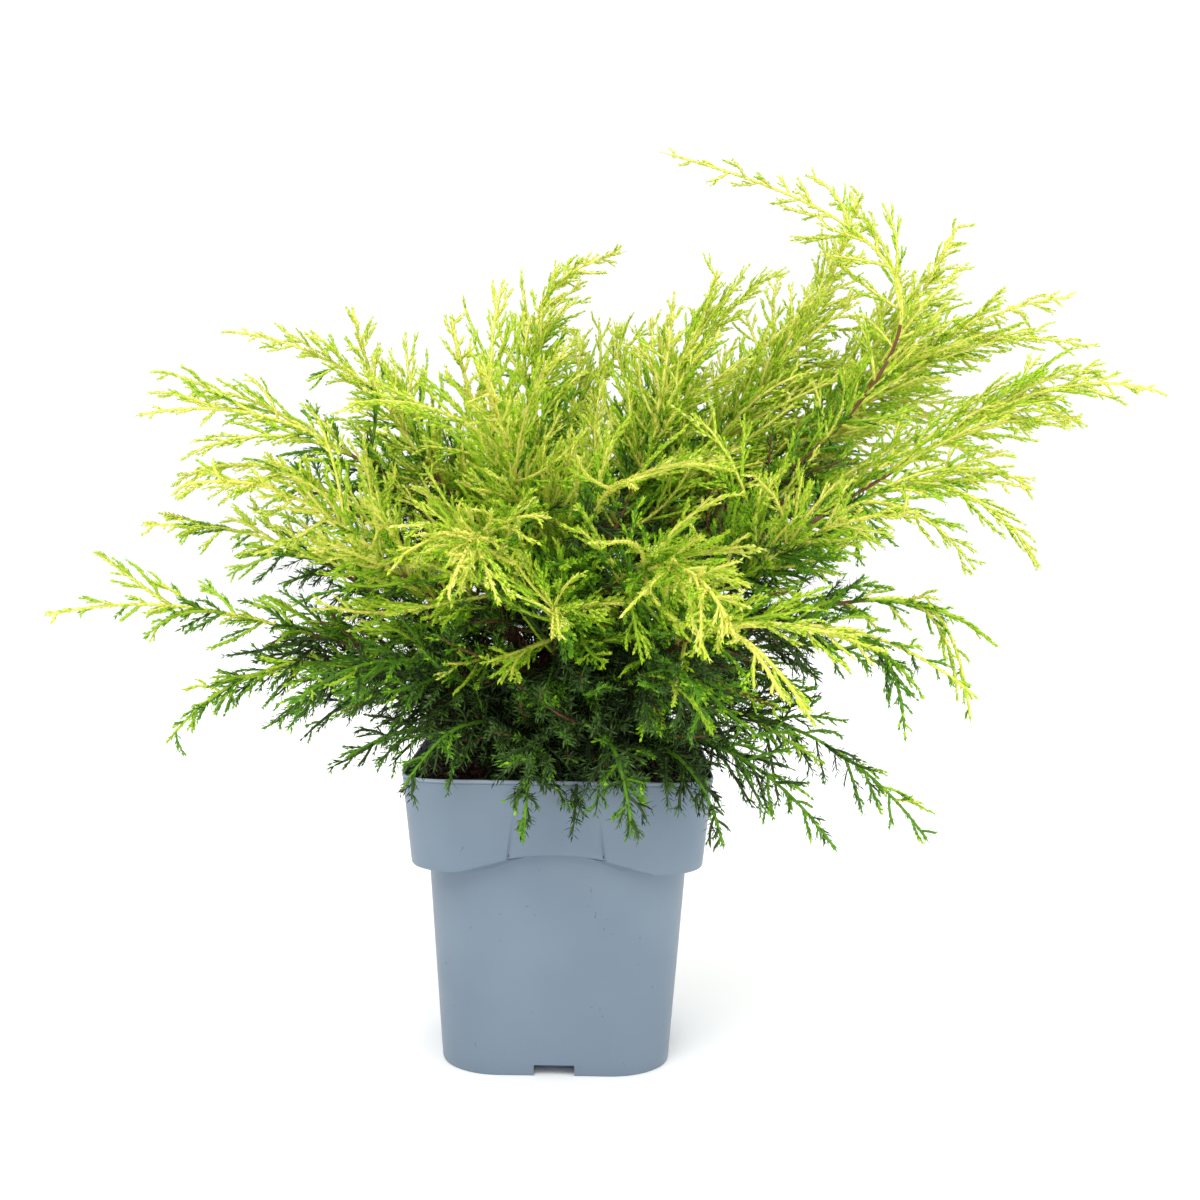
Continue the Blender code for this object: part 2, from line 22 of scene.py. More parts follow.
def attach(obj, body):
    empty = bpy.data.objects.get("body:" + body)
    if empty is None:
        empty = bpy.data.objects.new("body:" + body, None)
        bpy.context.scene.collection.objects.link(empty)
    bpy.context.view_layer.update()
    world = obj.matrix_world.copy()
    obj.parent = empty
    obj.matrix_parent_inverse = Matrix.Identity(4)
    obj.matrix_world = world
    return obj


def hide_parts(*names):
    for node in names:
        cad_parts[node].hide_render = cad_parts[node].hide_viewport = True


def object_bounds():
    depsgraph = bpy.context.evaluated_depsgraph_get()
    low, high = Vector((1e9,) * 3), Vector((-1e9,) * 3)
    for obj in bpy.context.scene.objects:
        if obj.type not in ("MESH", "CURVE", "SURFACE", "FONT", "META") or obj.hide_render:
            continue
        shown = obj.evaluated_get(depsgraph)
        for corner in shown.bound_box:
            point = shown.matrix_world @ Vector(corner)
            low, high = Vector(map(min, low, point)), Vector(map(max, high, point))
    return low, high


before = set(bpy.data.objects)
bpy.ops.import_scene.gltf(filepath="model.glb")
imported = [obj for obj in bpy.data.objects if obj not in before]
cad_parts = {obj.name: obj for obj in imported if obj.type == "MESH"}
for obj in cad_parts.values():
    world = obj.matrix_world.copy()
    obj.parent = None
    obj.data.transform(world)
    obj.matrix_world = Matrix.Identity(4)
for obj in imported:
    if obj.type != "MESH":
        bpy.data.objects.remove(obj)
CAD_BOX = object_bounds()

LOG = logging.getLogger("juniper")
# Most triangles in one piece of twigs or leaves
MOST_TRIANGLES = 190_000


def colour(red: int, green: int, blue: int) -> tuple[float, float, float, float]:
    """A screen colour as the linear values that a shader takes.

    Args:
        red, green, blue: Screen values from 0 to 255.

    Returns:
        Linear red, green and blue, and an alpha of one.
    """
    shares = [v / 255 for v in (red, green, blue)]
    linear = [v / 12.92 if v <= 0.04045 else ((v + 0.055) / 1.055) ** 2.4 for v in shares]
    return (*linear, 1.0)


# Finishes
class Socket:
    """An output socket. Arithmetic on it adds the Math nodes."""

    def __init__(self, board: "Board", output: bpy.types.NodeSocket) -> None:
        """Keeps the socket and the board that it is on."""
        self.board = board
        self.output = output

    def maths(self, operation: str, first: object, second: object) -> "Socket":
        """One Math node on two numbers or sockets."""
        return self.board.add("ShaderNodeMath", {"operation": operation}, {0: first, 1: second})

    def __add__(self, other: object) -> "Socket":
        """self + other."""
        return self.maths("ADD", self, other)

    def __sub__(self, other: object) -> "Socket":
        """self - other."""
        return self.maths("SUBTRACT", self, other)

    def __rsub__(self, other: object) -> "Socket":
        """other - self."""
        return self.maths("SUBTRACT", other, self)

    def __mul__(self, other: object) -> "Socket":
        """self * other."""
        return self.maths("MULTIPLY", self, other)

    __radd__ = __add__
    __rmul__ = __mul__

    def above(self, edge: float, soft: float) -> "Socket":
        """Nought below an edge and one above it.

        Args:
            edge: The middle of the change.
            soft: The width that the change takes.

        Returns:
            The new socket.
        """
        return self.board.add(
            "ShaderNodeMapRange",
            {"interpolation_type": "SMOOTHSTEP"},
            {"Value": self, "From Min": edge - soft / 2, "From Max": edge + soft / 2},
        )


class Board:
    """One material's nodes."""

    def __init__(self, name: str, roughness: float, specular: float = 0.5) -> None:
        """A new material with one Principled shader.

        Args:
            name: The material's name.
            roughness: Its roughness, where nothing else is fed in.
            specular: Its specular level.
        """
        self.material = bpy.data.materials.new(name)
        self.material.use_nodes = True
        self.tree = self.material.node_tree
        self.shader = self.tree.nodes["Principled BSDF"]
        self.shader.inputs["Roughness"].default_value = roughness
        self.shader.inputs["Specular IOR Level"].default_value = specular

    def add(self, kind: str, settings: dict, inputs: dict, output: object = 0) -> Socket:
        """Adds a node.

        Args:
            kind: The node's type.
            settings: Its properties, and a ramp's stops as place and colour.
            inputs: Values or sockets by input name or number.
            output: The name or number of the output that is wanted.

        Returns:
            That output.
        """
        node = self.tree.nodes.new(kind)
        for key, value in settings.items():
            if key == "stops":
                self.fill_ramp(node.color_ramp, value)
            else:
                setattr(node, key, value)
        for key, value in inputs.items():
            self.put(node.inputs[key], value)
        return Socket(self, node.outputs[output])

    @staticmethod
    def fill_ramp(ramp: bpy.types.ColorRamp, stops: tuple) -> None:
        """Sets a ramp's stops.

        Args:
            ramp: The colour ramp.
            stops: Each stop's place and colour.
        """
        while len(ramp.elements) < len(stops):
            ramp.elements.new(0.5)
        for element, (place, shade) in zip(ramp.elements, stops):
            element.position, element.color = place, shade

    def put(self, target: bpy.types.NodeSocket, value: object) -> None:
        """Links a socket to an input, or sets a value on it.

        Args:
            target: The input.
            value: A socket, a number or a colour.
        """
        if isinstance(value, Socket):
            self.tree.links.new(value.output, target)
        else:
            target.default_value = value

    def place(self) -> Socket:
        """Object coordinates, in metres."""
        return self.add("ShaderNodeTexCoord", {}, {}, "Object")

    def axis(self, vector: Socket, name: str) -> Socket:
        """One axis of a vector."""
        return self.add("ShaderNodeSeparateXYZ", {}, {0: vector}, name)

    def scaled(self, vector: Socket, scale: tuple[float, float, float]) -> Socket:
        """A vector with each axis scaled."""
        return self.add("ShaderNodeMapping", {}, {"Vector": vector, "Scale": scale})

    def noise(self, vector: Socket, scale: float, detail: float = 3.0, rough: float = 0.5) -> Socket:
        """Noise from 0 to 1."""
        inputs = {"Vector": vector, "Scale": scale, "Detail": detail, "Roughness": rough}
        return self.add("ShaderNodeTexNoise", {}, inputs, 0)

    def ramp(self, factor: Socket, *stops: tuple) -> Socket:
        """A colour ramp."""
        return self.add("ShaderNodeValToRGB", {"stops": stops}, {"Fac": factor})

    def mix(self, factor: object, first: object, second: object) -> Socket:
        """Two colours mixed."""
        return self.add("ShaderNodeMix", {"data_type": "RGBA"}, {0: factor, 6: first, 7: second}, 2)

    def feed(self, name: str, value: object) -> None:
        """Sets or links one input of the shader."""
        self.put(self.shader.inputs[name], value)

    def bump(self, height: Socket, strength: float, distance: float) -> None:
        """Feeds the shader's normal from a height."""
        inputs = {"Height": height, "Strength": strength, "Distance": distance}
        self.feed("Normal", self.add("ShaderNodeBump", {}, inputs))


@dataclass(frozen=True)
class PotPlastic:
    """Matt blue-grey moulded plastic with a paler lip, which is a painted highlight on the rim's top, faint
    clouding and a few specks.

    The sheen is the least roughness and how far it rises above that. Each mix changes over at its
    level or height, across its softness.
    """

    base: tuple = colour(114, 130, 145)
    # Shaded tint: random clouding over the body, and painted shade towards the foot
    shaded: tuple = colour(106, 122, 138)
    # Painted highlight: the paler tint of the rim's top
    lip: tuple = colour(143, 156, 169)
    speck: tuple = colour(88, 100, 112)
    roughness: float = 0.46
    specular: float = 0.42
    cloud_scale: float = 14.0
    cloud_level: float = 0.5
    cloud_soft: float = 0.5
    foot_height: float = 0.035
    foot_share: float = 0.6
    speck_scale: float = 260.0
    speck_level: float = 0.765
    speck_soft: float = 0.02
    speck_share: float = 0.55
    lip_highlight_height: float = 0.1868
    lip_highlight_soft: float = 0.0006
    lip_highlight_share: float = 0.7
    sheen: tuple[float, float] = (0.36, 0.16)
    sheen_scale: float = 60.0
    grain_scale: float = 900.0
    detail: float = 2.0
    speck_detail: float = 1.0
    ripple_scale: float = 35.0
    ripple_share: float = 1.5
    bump_strength: float = 0.25
    bump_depth: float = 0.00025

    def material(self) -> bpy.types.Material:
        """Builds the material."""
        board = Board("grey_plastic", self.roughness, self.specular)
        place = board.place()
        height = board.axis(place, "Z")
        cloud = board.noise(place, self.cloud_scale, self.detail)
        body = board.mix(cloud.above(self.cloud_level, self.cloud_soft), self.base, self.shaded)
        # Painted shade: the body turns to the shaded tint towards the foot
        foot = (1.0 - height.above(self.foot_height, 2 * self.foot_height)) * self.foot_share
        body = board.mix(foot, body, self.shaded)
        specks = board.noise(place, self.speck_scale, self.speck_detail)
        specks = specks.above(self.speck_level, self.speck_soft)
        body = board.mix(specks * self.speck_share, body, self.speck)
        # Painted highlight: the rim's top turns to the paler lip tint
        body = board.mix(height.above(self.lip_highlight_height, self.lip_highlight_soft) * self.lip_highlight_share, body, self.lip)
        board.feed("Base Color", body)
        grain = board.noise(place, self.grain_scale, self.detail)
        least, spread = self.sheen
        board.feed("Roughness", board.noise(place, self.sheen_scale) * spread + least)
        ripple = board.noise(place, self.ripple_scale, self.detail) * self.ripple_share
        board.bump(grain + ripple, self.bump_strength, self.bump_depth)
        return board.material


@dataclass(frozen=True)
class Rough:
    """A rough natural finish: three tints by a fine noise, patches of a fourth tint, and a bump.

    The levels are the three tints' places in the noise. The mottle is the patches' scale, edge,
    softness and share. The sheen is the least roughness and how far it rises above that. The
    relief is the bump's strength and depth, and the stretch draws the grain out along Z.
    """

    name: str
    tints: tuple
    patch: tuple
    roughness: float
    specular: float
    noise_scale: float
    noise_rough: float
    levels: tuple[float, float, float]
    mottle: tuple[float, float, float, float]
    sheen: tuple[float, float]
    relief: tuple[float, float]
    stretch: float = 1.0
    detail: float = 4.0
    patch_detail: float = 2.0

    def material(self) -> bpy.types.Material:
        """Builds the material."""
        board = Board(self.name, self.roughness, self.specular)
        place = board.scaled(board.place(), (1.0, 1.0, self.stretch))
        fine = board.noise(place, self.noise_scale, self.detail, self.noise_rough)
        body = board.ramp(fine, *zip(self.levels, self.tints))
        scale, edge, soft, share = self.mottle
        patch = board.noise(place, scale, self.patch_detail).above(edge, soft)
        board.feed("Base Color", board.mix(patch * share, body, self.patch))
        least, spread = self.sheen
        board.feed("Roughness", fine * spread + least)
        board.bump(fine, *self.relief)
        return board.material


# Moist dark peat with reddish flecks, and brown bark that peels in long grey and reddish strips
PEAT = Rough(
    name="moist_peat", tints=(colour(28, 18, 13), colour(66, 40, 27), colour(104, 60, 40)),
    patch=colour(28, 18, 13), roughness=0.92, specular=0.25, noise_scale=420.0, noise_rough=0.65,
    levels=(0.30, 0.56, 0.74), mottle=(60.0, 0.5, 0.3, 0.6), sheen=(0.72, 0.25), relief=(0.8, 0.0012),
)
BARK = Rough(
    name="bark", tints=(colour(58, 36, 26), colour(116, 76, 54), colour(168, 134, 108)),
    patch=colour(140, 74, 50), roughness=0.86, specular=0.3, noise_scale=520.0, noise_rough=0.6,
    levels=(0.30, 0.50, 0.72), mottle=(90.0, 0.52, 0.2, 0.5), sheen=(0.74, 0.20), relief=(0.7, 0.0006),
    stretch=0.16,
)
BOUGH_BARK = replace(BARK, name="bough_bark", stretch=0.5)
CHIP_BARK = replace(
    BARK, name="chip_bark", tints=(colour(40, 24, 18), colour(92, 54, 38), colour(128, 84, 62)), stretch=1.0
)


@dataclass(frozen=True)
class PlainTint:
    """One plain colour of leaf or twig. Its place in the crown is dealt out by spray."""

    name: str
    tint: tuple
    roughness: float = 0.60
    specular: float = 0.10

    def material(self) -> bpy.types.Material:
        """Builds the material."""
        board = Board(self.name, self.roughness, self.specular)
        board.feed("Base Color", self.tint)
        return board.material


class Leaf(Enum):
    """Tints of the leaves, from the shaded inside to the golden tips."""

    SHADE = PlainTint("leaf_shade", colour(34, 50, 26))
    DEEP = PlainTint("leaf_deep", colour(78, 108, 52))
    GREEN = PlainTint("leaf_green", colour(102, 155, 38))
    BRIGHT = PlainTint("leaf_bright", colour(166, 208, 46))
    LIME = PlainTint("leaf_lime", colour(196, 218, 68))
    GOLD = PlainTint("leaf_gold", colour(226, 230, 126))


class Twig(Enum):
    """Tints of the twigs, from painted shade on the innermost twigs and old wood to the year's pale growth.
    """

    # Painted shade: the dark tint of the innermost twigs
    DARK = PlainTint("twig_dark", colour(46, 38, 26), 0.8, 0.2)
    BROWN = PlainTint("twig_brown", colour(112, 76, 52), 0.75, 0.2)
    OLIVE = PlainTint("twig_olive", colour(58, 82, 34), 0.6, 0.2)
    GREEN = PlainTint("twig_green", colour(98, 144, 40), 0.6, 0.2)
    LIME = PlainTint("twig_lime", colour(170, 200, 62), 0.6, 0.2)
    GOLD = PlainTint("twig_gold", colour(234, 228, 112), 0.6, 0.2)


LEAVES = tuple(Leaf)


# Meshes
def new_object(name: str, data: bpy.types.ID) -> bpy.types.Object:
    """A new object in the scene.

    Args:
        name: Its name.
        data: Its mesh, light or camera.

    Returns:
        The object at the origin.
    """
    added = bpy.data.objects.new(name, data)
    bpy.context.scene.collection.objects.link(added)
    return added


def mesh_piece(
    name: str, points: np.ndarray, faces: np.ndarray, material: bpy.types.Material, smooth: bool
) -> bpy.types.Object:
    """A mesh object from arrays.

    Args:
        name: The piece's name.
        points: Corner places, one row each.
        faces: Corner numbers, three or four to a row.
        material: Its finish.
        smooth: Whether its faces are shaded smooth.

    Returns:
        The new object at the origin.
    """
    mesh = bpy.data.meshes.new(name)
    count, sides = faces.shape
    mesh.vertices.add(len(points))
    mesh.vertices.foreach_set("co", np.ascontiguousarray(points, np.float32).ravel())
    mesh.loops.add(count * sides)
    mesh.loops.foreach_set("vertex_index", np.ascontiguousarray(faces, np.int32).ravel())
    mesh.polygons.add(count)
    mesh.polygons.foreach_set("loop_start", np.arange(0, count * sides, sides, dtype=np.int32))
    mesh.polygons.foreach_set("use_smooth", np.full(count, smooth))
    mesh.update(calc_edges=True)
    mesh.materials.append(material)
    return new_object(name, mesh)


def unit(v: np.ndarray) -> np.ndarray:
    """Vectors at length one, along the last axis."""
    return v / np.maximum(np.linalg.norm(v, axis=-1, keepdims=True), 1e-12)


def ring_faces(rings: int, count: int) -> np.ndarray:
    """Four-sided faces between closed rings of points.

    Args:
        rings: How many rings follow one another.
        count: Points in each ring.

    Returns:
        The faces' corner numbers.
    """
    here = np.arange(count)
    ahead = (here + 1) % count
    return np.concatenate([
        np.stack([r * count + here, r * count + ahead, (r + 1) * count + ahead, (r + 1) * count + here], 1)
        for r in range(rings - 1)
    ])


def tidy_normals(piece: bpy.types.Object, merge: float = 1e-7) -> None:
    """Merges doubled corners and turns all faces outwards.

    Args:
        piece: The mesh object.
        merge: Corners nearer than this become one.
    """
    work = bmesh.new()
    work.from_mesh(piece.data)
    bmesh.ops.remove_doubles(work, verts=work.verts, dist=merge)
    bmesh.ops.recalc_face_normals(work, faces=work.faces)
    work.to_mesh(piece.data)
    work.free()


# Pot
@dataclass
class NurseryPot:
    """The square nursery pot: tapered body, arched collar, thin lip and a notch in each foot.

    Each edge is a row of insets and heights: the foot from the ground, the ledge under the collar
    and the collar's own edge from its lower end, and the lip down from the rim's top. The dent is
    the notch's inner wall: how high it begins, and how far it stays behind the foot's face. The cut
    goes past the foot below and outside.
    """

    rim_half: float = 0.095
    rim_corner: float = 0.026
    height: float = 0.1885
    collar_half: float = 0.0898
    collar_corner: float = 0.030
    collar_low: float = 0.131
    arch: float = 0.011
    arch_flat: float = 0.024
    arch_reach: float = 0.062
    arch_steps: int = 45
    arch_rounds: int = 6
    body_half: float = 0.0808
    body_corner: float = 0.040
    foot_half: float = 0.072
    foot_corner: float = 0.0375
    wall: float = 0.0014
    floor: float = 0.0020
    foot_round: float = 0.0014
    foot_edge: tuple = ((0.0012, 0.0), (0.0005, 0.0003), (0.0, 0.0014))
    ledge_edge: tuple = ((0.0, -0.0012), (-0.0004, -0.0002))
    collar_edge: tuple = ((0.0012, 0.0), (0.0004, 0.0002), (0.0, 0.0010))
    lip_drop: float = 0.0030
    lip_bead: float = 0.0004
    lip_edge: tuple = ((0.0007, 0.0026), (0.0001, 0.0021), (0.0, 0.0014), (0.0001, 0.0007),
                       (0.0003, 0.0002), (0.0007, 0.0), (0.0011, 0.0002), (0.0014, 0.0008))
    inner_corner: float = 0.0026
    inner_steps: int = 4
    notch: tuple[float, float, float] = (0.0250, 0.0140, 0.0070)
    dent: tuple[float, float] = (0.001, 0.0006)
    cut_past: tuple[float, float] = (0.01, 0.02)
    panel_sunk: float = 0.0015
    panel_half: tuple[float, float] = (0.0290, 0.0230)
    panel_soft: tuple[float, float] = (0.0012, 0.0026)
    panel_rise: float = 0.8
    panel_fade: float = 0.8
    crease_deep: float = 0.0012
    crease_wide: float = 0.0008
    crease_rise: float = 0.55
    side_steps: int = 60
    body_steps: int = 14
    collar_steps: int = 15
    corner_steps: int = 12
    edge_clear: float = 0.045
    edge_steps: tuple[float, ...] = (0.006, 0.013, 0.022, 0.034)
    smooth_angle: float = 32
    finish: PotPlastic = field(default_factory=PotPlastic)

    @property
    def panel_edge(self) -> float:
        """Where the middle panel's lower edge stands on a side's flat part, from 0 to 1."""
        return self.panel_half[0] / (self.collar_half - self.collar_corner)

    def columns(self) -> np.ndarray:
        """Where the mesh lines of a side stand, from -1 to 1, close together at the panel's two edges."""
        edge, steps = self.panel_edge, np.array(self.edge_steps)
        even = np.linspace(-1, 1, self.side_steps + 1)[:-1]
        even = even[np.abs(np.abs(even) - edge) > self.edge_clear]
        near = edge + np.concatenate([-steps, [0.0], steps])
        return np.sort(np.concatenate([even, near, -near]))

    def ring(
        self, half: float, corner: float, panel: float | None = None
    ) -> tuple[np.ndarray, np.ndarray, np.ndarray]:
        """One rounded square.

        Args:
            half: Half its width.
            corner: Its corner radius.
            panel: Half the width of its middle panel, where the mesh lines keep to the panel's edges.

        Returns:
            Its points in the plane, the way out at each, and each point's place along its side.
        """
        flat, edge = half - corner, self.panel_edge
        inner = edge * flat if panel is None else panel
        u = np.interp(self.columns(), (-1, -edge, edge, 1), (-flat, -inner, inner, flat))
        a = np.linspace(0, math.pi / 2, self.corner_steps + 1)[:-1]
        local = np.concatenate([
            np.stack([u, np.full_like(u, -half)], 1),
            np.stack([flat + corner * np.sin(a), -flat - corner * np.cos(a)], 1),
        ])
        out = np.concatenate([
            np.tile([0.0, -1.0], (len(u), 1)),
            np.stack([np.sin(a), -np.cos(a)], 1),
        ])
        along = np.concatenate([u, np.full_like(a, half)])
        points, ways = [], []
        for side in range(4):
            c, s = math.cos(side * math.pi / 2), math.sin(side * math.pi / 2)
            turn = np.array([[c, s], [-s, c]])
            points.append(local @ turn)
            ways.append(out @ turn)
        return np.concatenate(points), np.concatenate(ways), np.tile(along, 4)

    def arch_lift(self) -> np.ndarray:
        """How far the collar's lower edge stands above its corners, for each point of a ring."""
        _, _, along = self.ring(self.collar_half, self.collar_corner)
        far = np.abs(np.linspace(-self.collar_half, self.collar_half, 2 * self.arch_steps + 1))
        crown = 1 - (np.minimum(far, self.arch_flat) / self.arch_reach) ** 2
        end = self.collar_half - self.collar_corner
        lift = self.arch * crown * np.clip((end - far) / (end - self.arch_flat), 0, 1)
        for _ in range(self.arch_rounds):
            lift = (np.roll(lift, 1) + 2 * lift + np.roll(lift, -1)) / 4
        return np.interp(np.abs(along), far[self.arch_steps:], lift[self.arch_steps:])

    def sunk_ring(self, half: float, corner: float, rise: float | None) -> np.ndarray:
        """One rounded square with its middle panels sunk.

        Args:
            half: Half its width.
            corner: Its corner radius.
            rise: Its place from the collar's lower edge to its top, or None off the collar.

        Returns:
            Its points in the plane.
        """
        if rise is None:
            return self.ring(half, corner)[0]
        low, high = self.panel_half
        points, ways, along = self.ring(half, corner, low + (high - low) * rise)
        return points - ways * self.panel(along, rise)[:, None]

    def rings(self) -> list[np.ndarray]:
        """All rings, from the underside up the outside, over the lip and down the inside."""
        lift = self.arch_lift()
        flat = np.zeros_like(lift)
        found = []

        def put(half: float, corner: float, z: float, up: np.ndarray, rise: float | None = None) -> None:
            """Adds one ring at a height."""
            found.append(np.column_stack([self.sunk_ring(half, corner, rise), z + up]))

        foot, corner, wall = self.foot_half, self.foot_corner, self.wall
        for inset, z in self.foot_edge:
            put(foot - inset, corner - inset, z, flat)
        for share in np.linspace(0, 1, self.body_steps + 1)[1:-1]:
            half = foot + (self.body_half - foot) * share
            bend = corner + (self.body_corner - corner) * share
            z = self.foot_round + (self.collar_low - 2 * self.foot_round) * share
            put(half, bend, z, lift * share)
        for inset, z in self.ledge_edge:
            put(self.body_half - inset, self.body_corner, self.collar_low + z, lift)
        for inset, z in self.collar_edge:
            put(self.collar_half - inset, self.collar_corner, self.collar_low + z, lift, 0.0)
        low, top = self.collar_low + self.collar_edge[-1][1], self.height - self.lip_drop
        for share in np.linspace(0, 1, self.collar_steps + 1)[1:]:
            half = self.collar_half + (self.rim_half - self.lip_bead - self.collar_half) * share
            bend = self.collar_corner + (self.rim_corner - self.collar_corner) * share
            put(half, bend, low + (top - low) * share, lift * (1 - share), share)
        for inset, drop in self.lip_edge:
            put(self.rim_half - inset, self.rim_corner - inset, self.height - drop, flat)
        for share in np.linspace(0, 1, self.inner_steps + 1)[1:]:
            half = self.rim_half + (self.collar_half - self.rim_half) * share - wall
            bend = self.rim_corner + self.inner_corner * share
            z = self.height + (self.collar_low + wall - self.height) * share
            put(half, bend, z, lift * share, 1 - share)
        put(self.body_half - wall, self.body_corner - wall, self.collar_low + wall, lift)
        put(foot - wall, corner - wall, self.floor, flat)
        return found

    def panel(self, along: np.ndarray, rise: float) -> np.ndarray:
        """How far each side is sunk at its middle panel and at the creases on either side of it.

        Args:
            along: Each point's place along its side.
            rise: The ring's place from the collar's lower edge to its top.

        Returns:
            The depth at each point.
        """
        low, high = self.panel_half
        edge = low + (high - low) * rise
        inset, soft = self.panel_soft
        inside = np.clip((edge + inset - np.abs(along)) / soft, 0, 1)
        fade = max(0.0, 1 - rise / self.panel_rise) ** self.panel_fade
        step = self.panel_sunk * inside * inside * (3 - 2 * inside) * fade
        groove = np.exp(-(((np.abs(along) - edge) / self.crease_wide) ** 2))
        return step + self.crease_deep * groove * math.sqrt(max(0.0, 1 - rise / self.crease_rise))

    @staticmethod
    def blocks(name: str, wide: float, low: float, high: float, inner: float, outer: float) -> list:
        """Four blocks, one at the middle of each side's foot.

        Args:
            name: The blocks' name, before their number.
            wide: Their width along the side.
            low, high: Heights of their two ends.
            inner, outer: How far their two faces stand from the pot's middle.

        Returns:
            The four mesh objects.
        """
        found = []
        faces = np.array([(0, 1, 3, 2), (4, 6, 7, 5), (0, 4, 5, 1),
                          (2, 3, 7, 6), (0, 2, 6, 4), (1, 5, 7, 3)])
        for k, (x, y) in enumerate(((0, -1), (1, 0), (0, 1), (-1, 0))):
            ends = np.array([[x * inner, y * inner], [x * outer, y * outer]])
            half = np.array([abs(y), abs(x)]) * wide / 2
            lows, highs = [*(ends.min(0) - half), low], [*(ends.max(0) + half), high]
            corners = np.array(list(itertools.product(*zip(lows, highs))))
            block = mesh_piece(f"{name}_{k}", corners, faces, None, False)
            tidy_normals(block)
            found.append(block)
        return found

    @staticmethod
    def combine(piece: bpy.types.Object, others: list, operation: str) -> None:
        """One Boolean with several blocks, applied, and the blocks removed.

        Args:
            piece: The object that is changed.
            others: The blocks.
            operation: UNION or DIFFERENCE.
        """
        group = bpy.data.collections.new(piece.name + "_tools")
        bpy.context.scene.collection.children.link(group)
        for other in others:
            bpy.context.scene.collection.objects.unlink(other)
            group.objects.link(other)
        step = piece.modifiers.new(operation.lower(), "BOOLEAN")
        step.operation, step.operand_type, step.collection = operation, "COLLECTION", group
        step.solver = "EXACT"
        graph = bpy.context.evaluated_depsgraph_get()
        mesh = bpy.data.meshes.new_from_object(piece.evaluated_get(graph))
        piece.modifiers.remove(step)
        piece.data = mesh
        for other in others:
            bpy.data.objects.remove(other)
        bpy.data.collections.remove(group)

    def build(self) -> bpy.types.Object:
        """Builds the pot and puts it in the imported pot's place."""
        rings = self.rings()
        count = len(rings[0])
        faces = ring_faces(len(rings), count)
        piece = mesh_piece("pot_shell", np.concatenate(rings), faces, self.finish.material(), True)
        work = bmesh.new()
        work.from_mesh(piece.data)
        work.verts.ensure_lookup_table()
        last = (len(rings) - 1) * count
        work.faces.new([work.verts[k] for k in reversed(range(count))])
        work.faces.new([work.verts[last + k] for k in range(count)])
        bmesh.ops.recalc_face_normals(work, faces=work.faces)
        work.to_mesh(piece.data)
        work.free()
        (wide, deep, high), (low, behind), (below, outside) = self.notch, self.dent, self.cut_past
        shell = self.blocks("dent", wide + 2 * self.wall, low, high + self.wall,
                            self.foot_half - deep - self.wall, self.foot_half - behind)
        self.combine(piece, shell, "UNION")
        cuts = self.blocks("notch", wide, -below, high, self.foot_half - deep, self.foot_half + outside)
        self.combine(piece, cuts, "DIFFERENCE")
        for face in piece.data.polygons:
            face.material_index = 0
        piece.data.shade_smooth()
        piece.data.set_sharp_from_angle(angle=math.radians(self.smooth_angle))
        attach(piece, "root")
        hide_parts("pot")
        return piece


